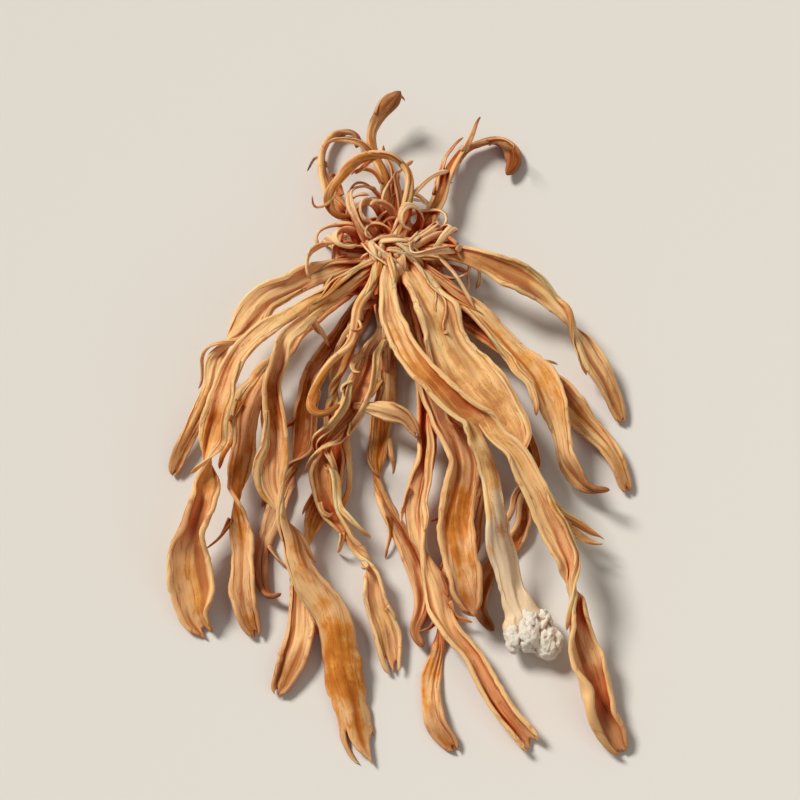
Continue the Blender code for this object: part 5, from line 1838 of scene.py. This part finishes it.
def mealy_material(colours):
    """The white lumps."""
    # the colour of the painted shade in the creases, of the dirt and of the specks
    crease = Vector(colours.mealy).lerp(Vector(colours.tip), 0.8)
    tones = {"Bloom": colours.mealy, "Crease": crease}
    return skin_material("mealy_lumps", "Mealy bloom", tones, 0.5, 0.12)


# Stage


def add_floor(stage):
    bpy.ops.mesh.primitive_plane_add(size=FLOOR_SIZE, location=(0, 0, -FLOOR_DROP))
    floor = bpy.context.object
    floor.name = "floor"
    material = bpy.data.materials.new("floor")
    material.use_nodes = True
    shader = material.node_tree.nodes["Principled BSDF"]
    shader.inputs["Base Color"].default_value = (*stage.floor, 1)
    shader.inputs["Roughness"].default_value = 0.9
    shader.inputs["Specular IOR Level"].default_value = 0.1
    floor.data.materials.append(material)


def add_light(name, kind, place, power, colour):
    """A soft light at a place, aimed at the tuft."""
    bpy.ops.object.light_add(type=kind, location=place)
    lamp = bpy.context.object
    lamp.name = name
    lamp.rotation_euler = (-Vector(place)).to_track_quat("-Z", "Y").to_euler()
    lamp.data.energy = power
    lamp.data.color = colour
    return lamp.data


def add_lights():
    window = add_light("window", "SUN", (-0.62, 0.46, 0.78), WINDOW_POWER, (1.0, 0.96, 0.90))
    window.angle = WINDOW_WIDTH
    fill = add_light("fill", "AREA", (0.45, -0.35, 0.45), FILL_POWER, ROOM_COLOUR)
    fill.size = FILL_SIZE
    world = bpy.data.worlds.new("soft room")
    world.use_nodes = True
    light = world.node_tree.nodes["Background"]
    light.inputs["Color"].default_value = (*ROOM_COLOUR, 1)
    light.inputs["Strength"].default_value = ROOM_STRENGTH
    bpy.context.scene.world = world
    bpy.context.scene.view_settings.view_transform = "Standard"


def add_camera(stage):
    """A camera that sees the whole tuft from the front, looking down."""
    low, high = (Vector(corner) for corner in CAD_BOX)
    aim = (low + high) / 2
    aim.z = high.z * AIM_LIFT
    size = high - low
    tall = size.y * math.sin(stage.elevation) + size.z * math.cos(stage.elevation)
    view = 2 * math.atan(SENSOR / 2 / stage.lens)
    distance = tall / (1 - stage.margin) / 2 / math.tan(view / 2)
    away = Vector((0, -math.cos(stage.elevation), math.sin(stage.elevation)))
    bpy.ops.object.camera_add(location=aim + away * distance)
    camera = bpy.context.object
    camera.name = "camera"
    camera.rotation_euler = (-away).to_track_quat("-Z", "Y").to_euler()
    camera.data.lens = stage.lens
    camera.data.sensor_width = SENSOR
    camera.data.clip_start = 0.01
    bpy.context.scene.camera = camera


# Operators


class StemsOperator:
    """What the operators that grow stems share."""

    bl_options = {"REGISTER", "UNDO"}
    stems = ()

    def execute(self, context):
        for stem in self.stems:
            grow_stem(stem, context)
        return {"FINISHED"}


class CORDYCEPS_OT_left_stems(StemsOperator, bpy.types.Operator):
    """Grow the left stems, one of which forks in two"""

    bl_idname = "cordyceps.left_stems"
    bl_label = "Left stems"
    stems = LEFT_STEMS


class CORDYCEPS_OT_middle_stems(StemsOperator, bpy.types.Operator):
    """Grow the stems in the middle, with a small side blade"""

    bl_idname = "cordyceps.middle_stems"
    bl_label = "Middle stems"
    stems = MIDDLE_STEMS


class CORDYCEPS_OT_right_stems(StemsOperator, bpy.types.Operator):
    """Grow the right stems, one of which forks in two"""

    bl_idname = "cordyceps.right_stems"
    bl_label = "Right stems"
    stems = RIGHT_STEMS


class CORDYCEPS_OT_back_stems(StemsOperator, bpy.types.Operator):
    """Grow the thin stems behind the base, with their curled tips"""

    bl_idname = "cordyceps.back_stems"
    bl_label = "Back stems"
    stems = BACK_STEMS


class CORDYCEPS_OT_base(bpy.types.Operator):
    """Make the lumpy base with the narrow stems that wind over it and its cut stubs"""

    bl_idname = "cordyceps.base"
    bl_label = "Base"
    bl_options = {"REGISTER", "UNDO"}

    def execute(self, context):
        grow_base(context)
        return {"FINISHED"}


class CORDYCEPS_OT_pale_lumps(bpy.types.Operator):
    """Make the mealy white lumps at the end of one branch"""

    bl_idname = "cordyceps.pale_lumps"
    bl_label = "Pale lumps"
    bl_options = {"REGISTER", "UNDO"}

    def execute(self, context):
        grow_pale_lumps(context)
        return {"FINISHED"}


class CORDYCEPS_OT_stage(bpy.types.Operator):
    """Add the floor, the lights and the camera"""

    bl_idname = "cordyceps.stage"
    bl_label = "Stage"
    bl_options = {"REGISTER", "UNDO"}

    def execute(self, context):
        add_floor(context.scene.tuft_stage)
        add_lights()
        add_camera(context.scene.tuft_stage)
        return {"FINISHED"}


OPERATORS = (
    CORDYCEPS_OT_base,
    CORDYCEPS_OT_left_stems,
    CORDYCEPS_OT_middle_stems,
    CORDYCEPS_OT_right_stems,
    CORDYCEPS_OT_back_stems,
    CORDYCEPS_OT_pale_lumps,
    CORDYCEPS_OT_stage,
)
GROUPS = {"tuft_sizes": TuftSizes, "tuft_colours": TuftColours, "tuft_stage": TuftStage}


class CORDYCEPS_PT_tuft(bpy.types.Panel):
    """Buttons for each part of the tuft, and the sizes and colours they use"""

    bl_idname = "CORDYCEPS_PT_tuft"
    bl_label = "Dried cordyceps"
    bl_space_type = "VIEW_3D"
    bl_region_type = "UI"
    bl_category = "Cordyceps"

    def draw(self, context):
        for operator in OPERATORS:
            self.layout.operator(operator.bl_idname)
        for name, group in GROUPS.items():
            box = self.layout.box()
            for key in group.__annotations__:
                box.prop(getattr(context.scene, name), key)


CLASSES = (*GROUPS.values(), *OPERATORS, CORDYCEPS_PT_tuft)


def register():
    for one in CLASSES:
        bpy.utils.register_class(one)
    for name, group in GROUPS.items():
        setattr(bpy.types.Scene, name, PointerProperty(type=group))


def unregister():
    for name in GROUPS:
        delattr(bpy.types.Scene, name)
    for one in reversed(CLASSES):
        bpy.utils.unregister_class(one)


def main():
    register()
    bpy.ops.cordyceps.base()
    bpy.ops.cordyceps.left_stems()
    bpy.ops.cordyceps.middle_stems()
    bpy.ops.cordyceps.right_stems()
    bpy.ops.cordyceps.back_stems()
    bpy.ops.cordyceps.pale_lumps()
    bpy.ops.cordyceps.stage()


if __name__ == "__main__":
    main()
